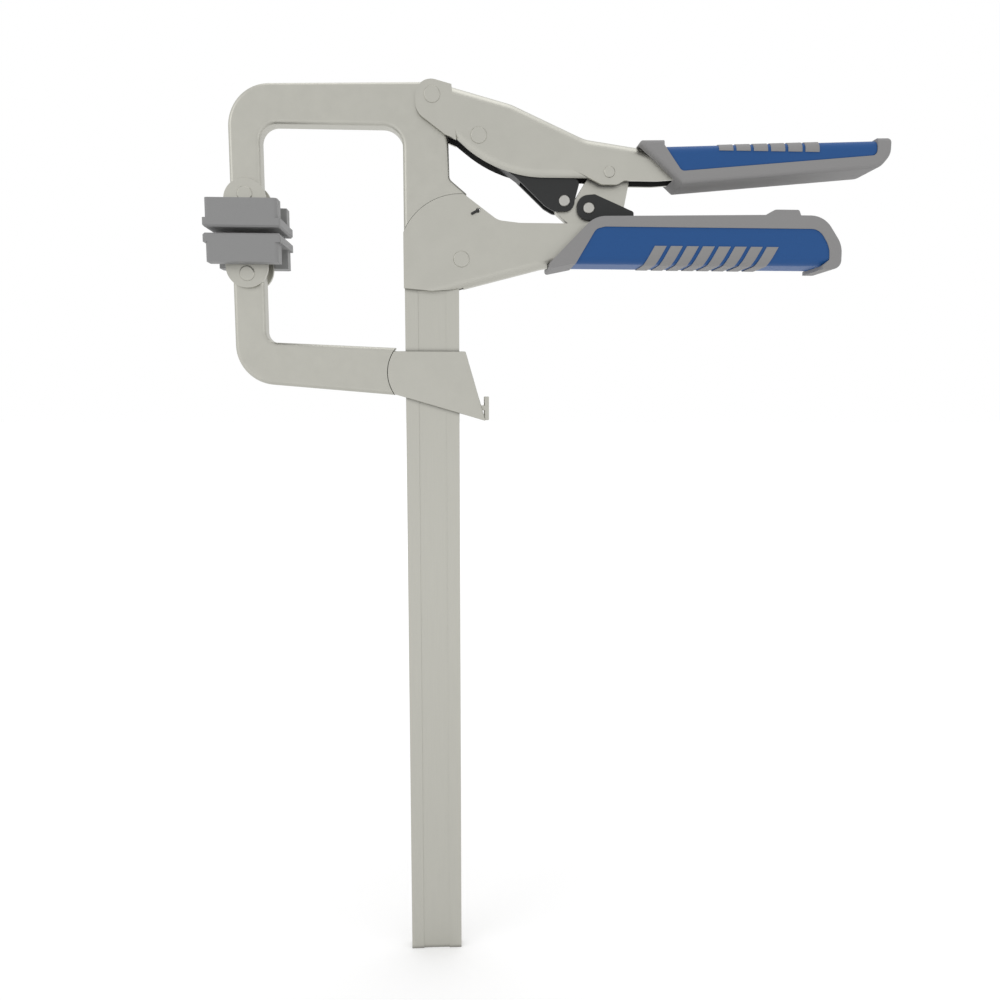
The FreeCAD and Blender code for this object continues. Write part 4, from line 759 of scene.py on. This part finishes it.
class CLAMP_OT_studio(bpy.types.Operator):
    """Lays a pale floor, lights it softly and sets the camera where the photograph was taken"""

    bl_idname = "clamp.studio"
    bl_label = "Studio"

    def execute(self, context):
        look = studio()
        low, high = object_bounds()
        middle = (Vector(low) + Vector(high)) / 2

        deselect()
        bpy.ops.mesh.primitive_plane_add(size=FLOOR_SIDE, location=(middle.x, middle.y, low[2]))
        floor = bpy.context.object
        bpy.ops.object.transform_apply(location=True, rotation=True, scale=True)
        floor.name = "studio_floor"
        floor.data.materials.append(self.floor_paint())
        floor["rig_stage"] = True

        deselect()
        for name, (right, back, up), side, power in SOFT_BOXES:
            soft_box(name, (middle.x + right, back, up), middle, side, getattr(look, power))

        bpy.ops.object.camera_add(
            location=look.camera_place,
            rotation=(math.pi / 2 - look.camera_tilt, look.camera_roll, -look.camera_turn))
        camera = bpy.context.object
        camera.name = "photo_camera"
        camera.data.sensor_width = FILM_WIDTH
        camera.data.lens = look.camera_lens
        camera.data.clip_start, camera.data.clip_end = SIGHT
        context.scene.camera = camera
        context.scene.view_settings.view_transform = "Standard"
        self.white_sky(context.scene)
        return {"FINISHED"}

    def floor_paint(self):
        """Matt white paint that camera and metal see as white, and that takes a shadow under the bar."""
        colour = linear("#ededed")
        material, tree, shader = new_material("matt_white_floor", colour, metallic=0.0, roughness=0.9)
        place = add(tree, "ShaderNodeTexCoord")
        away = add(tree, "ShaderNodeVectorMath", {"operation": "LENGTH"}, {0: place.outputs["Object"]})
        rise = add(tree, "ShaderNodeMapRange", GLOW_RISE, {"Value": away.outputs["Value"]})
        glow = add(tree, "ShaderNodeEmission", {"Color": WHITE})
        lift = add(tree, "ShaderNodeMath", {"operation": "MULTIPLY"},
                   {0: seen_directly(tree), 1: rise.outputs[0]})
        tree.links.new(lift.outputs[0], glow.inputs["Strength"])
        both = add(tree, "ShaderNodeAddShader", {}, {0: shader.outputs[0], 1: glow.outputs[0]})
        tree.links.new(both.outputs[0], tree.nodes["Material Output"].inputs["Surface"])
        return material

    def white_sky(self, scene):
        """A world that is white where it is seen, and gives matt surfaces a lower, even light."""
        world = bpy.data.worlds.new("white_sky")
        scene.world = world
        world.use_nodes = True
        tree = world.node_tree
        background = tree.nodes["Background"]
        background.inputs["Color"].default_value = WHITE
        level = add(tree, "ShaderNodeMapRange", {"To Min": studio().sky_level, "To Max": 1.0},
                    {"Value": seen_directly(tree)})
        tree.links.new(level.outputs[0], background.inputs["Strength"])


class CLAMP_PT_panel(bpy.types.Panel):
    """Lists the clamp's settings and build steps"""

    bl_idname = "CLAMP_PT_panel"
    bl_label = "Bar clamp"
    bl_space_type = "VIEW_3D"
    bl_region_type = "UI"
    bl_category = "Clamp"

    def draw(self, context):
        layout = self.layout
        for settings in (context.scene.clamp_finish, context.scene.clamp_studio):
            box = layout.box()
            for name in settings.bl_rna.properties.keys():
                if name not in ("rna_type", "name"):
                    box.prop(settings, name)
        for operator in STEPS:
            layout.operator(operator.bl_idname)


STEPS = (
    CLAMP_OT_bar, CLAMP_OT_jaw_arms, CLAMP_OT_folded_sheet, CLAMP_OT_rivets, CLAMP_OT_black_levers,
    CLAMP_OT_springs, CLAMP_OT_pads, CLAMP_OT_grip_ribs, CLAMP_OT_grips,
    CLAMP_OT_studio,
)
CLASSES = (ClampFinish, ClampStudio, *STEPS, CLAMP_PT_panel)


def register():
    """Registers the classes and hangs the settings on the scene."""
    for cls in CLASSES:
        bpy.utils.register_class(cls)
    bpy.types.Scene.clamp_finish = bpy.props.PointerProperty(type=ClampFinish)
    bpy.types.Scene.clamp_studio = bpy.props.PointerProperty(type=ClampStudio)


def unregister():
    """Undoes register."""
    del bpy.types.Scene.clamp_studio
    del bpy.types.Scene.clamp_finish
    for cls in reversed(CLASSES):
        bpy.utils.unregister_class(cls)


def main():
    """Registers the add-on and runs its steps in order."""
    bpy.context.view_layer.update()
    register()
    bpy.ops.clamp.bar()
    bpy.ops.clamp.jaw_arms()
    bpy.ops.clamp.folded_sheet()
    bpy.ops.clamp.rivets()
    bpy.ops.clamp.black_levers()
    bpy.ops.clamp.springs()
    bpy.ops.clamp.pads()
    bpy.ops.clamp.grip_ribs()
    bpy.ops.clamp.grips()
    bpy.ops.clamp.studio()
    deselect()


if __name__ == "__main__":
    main()
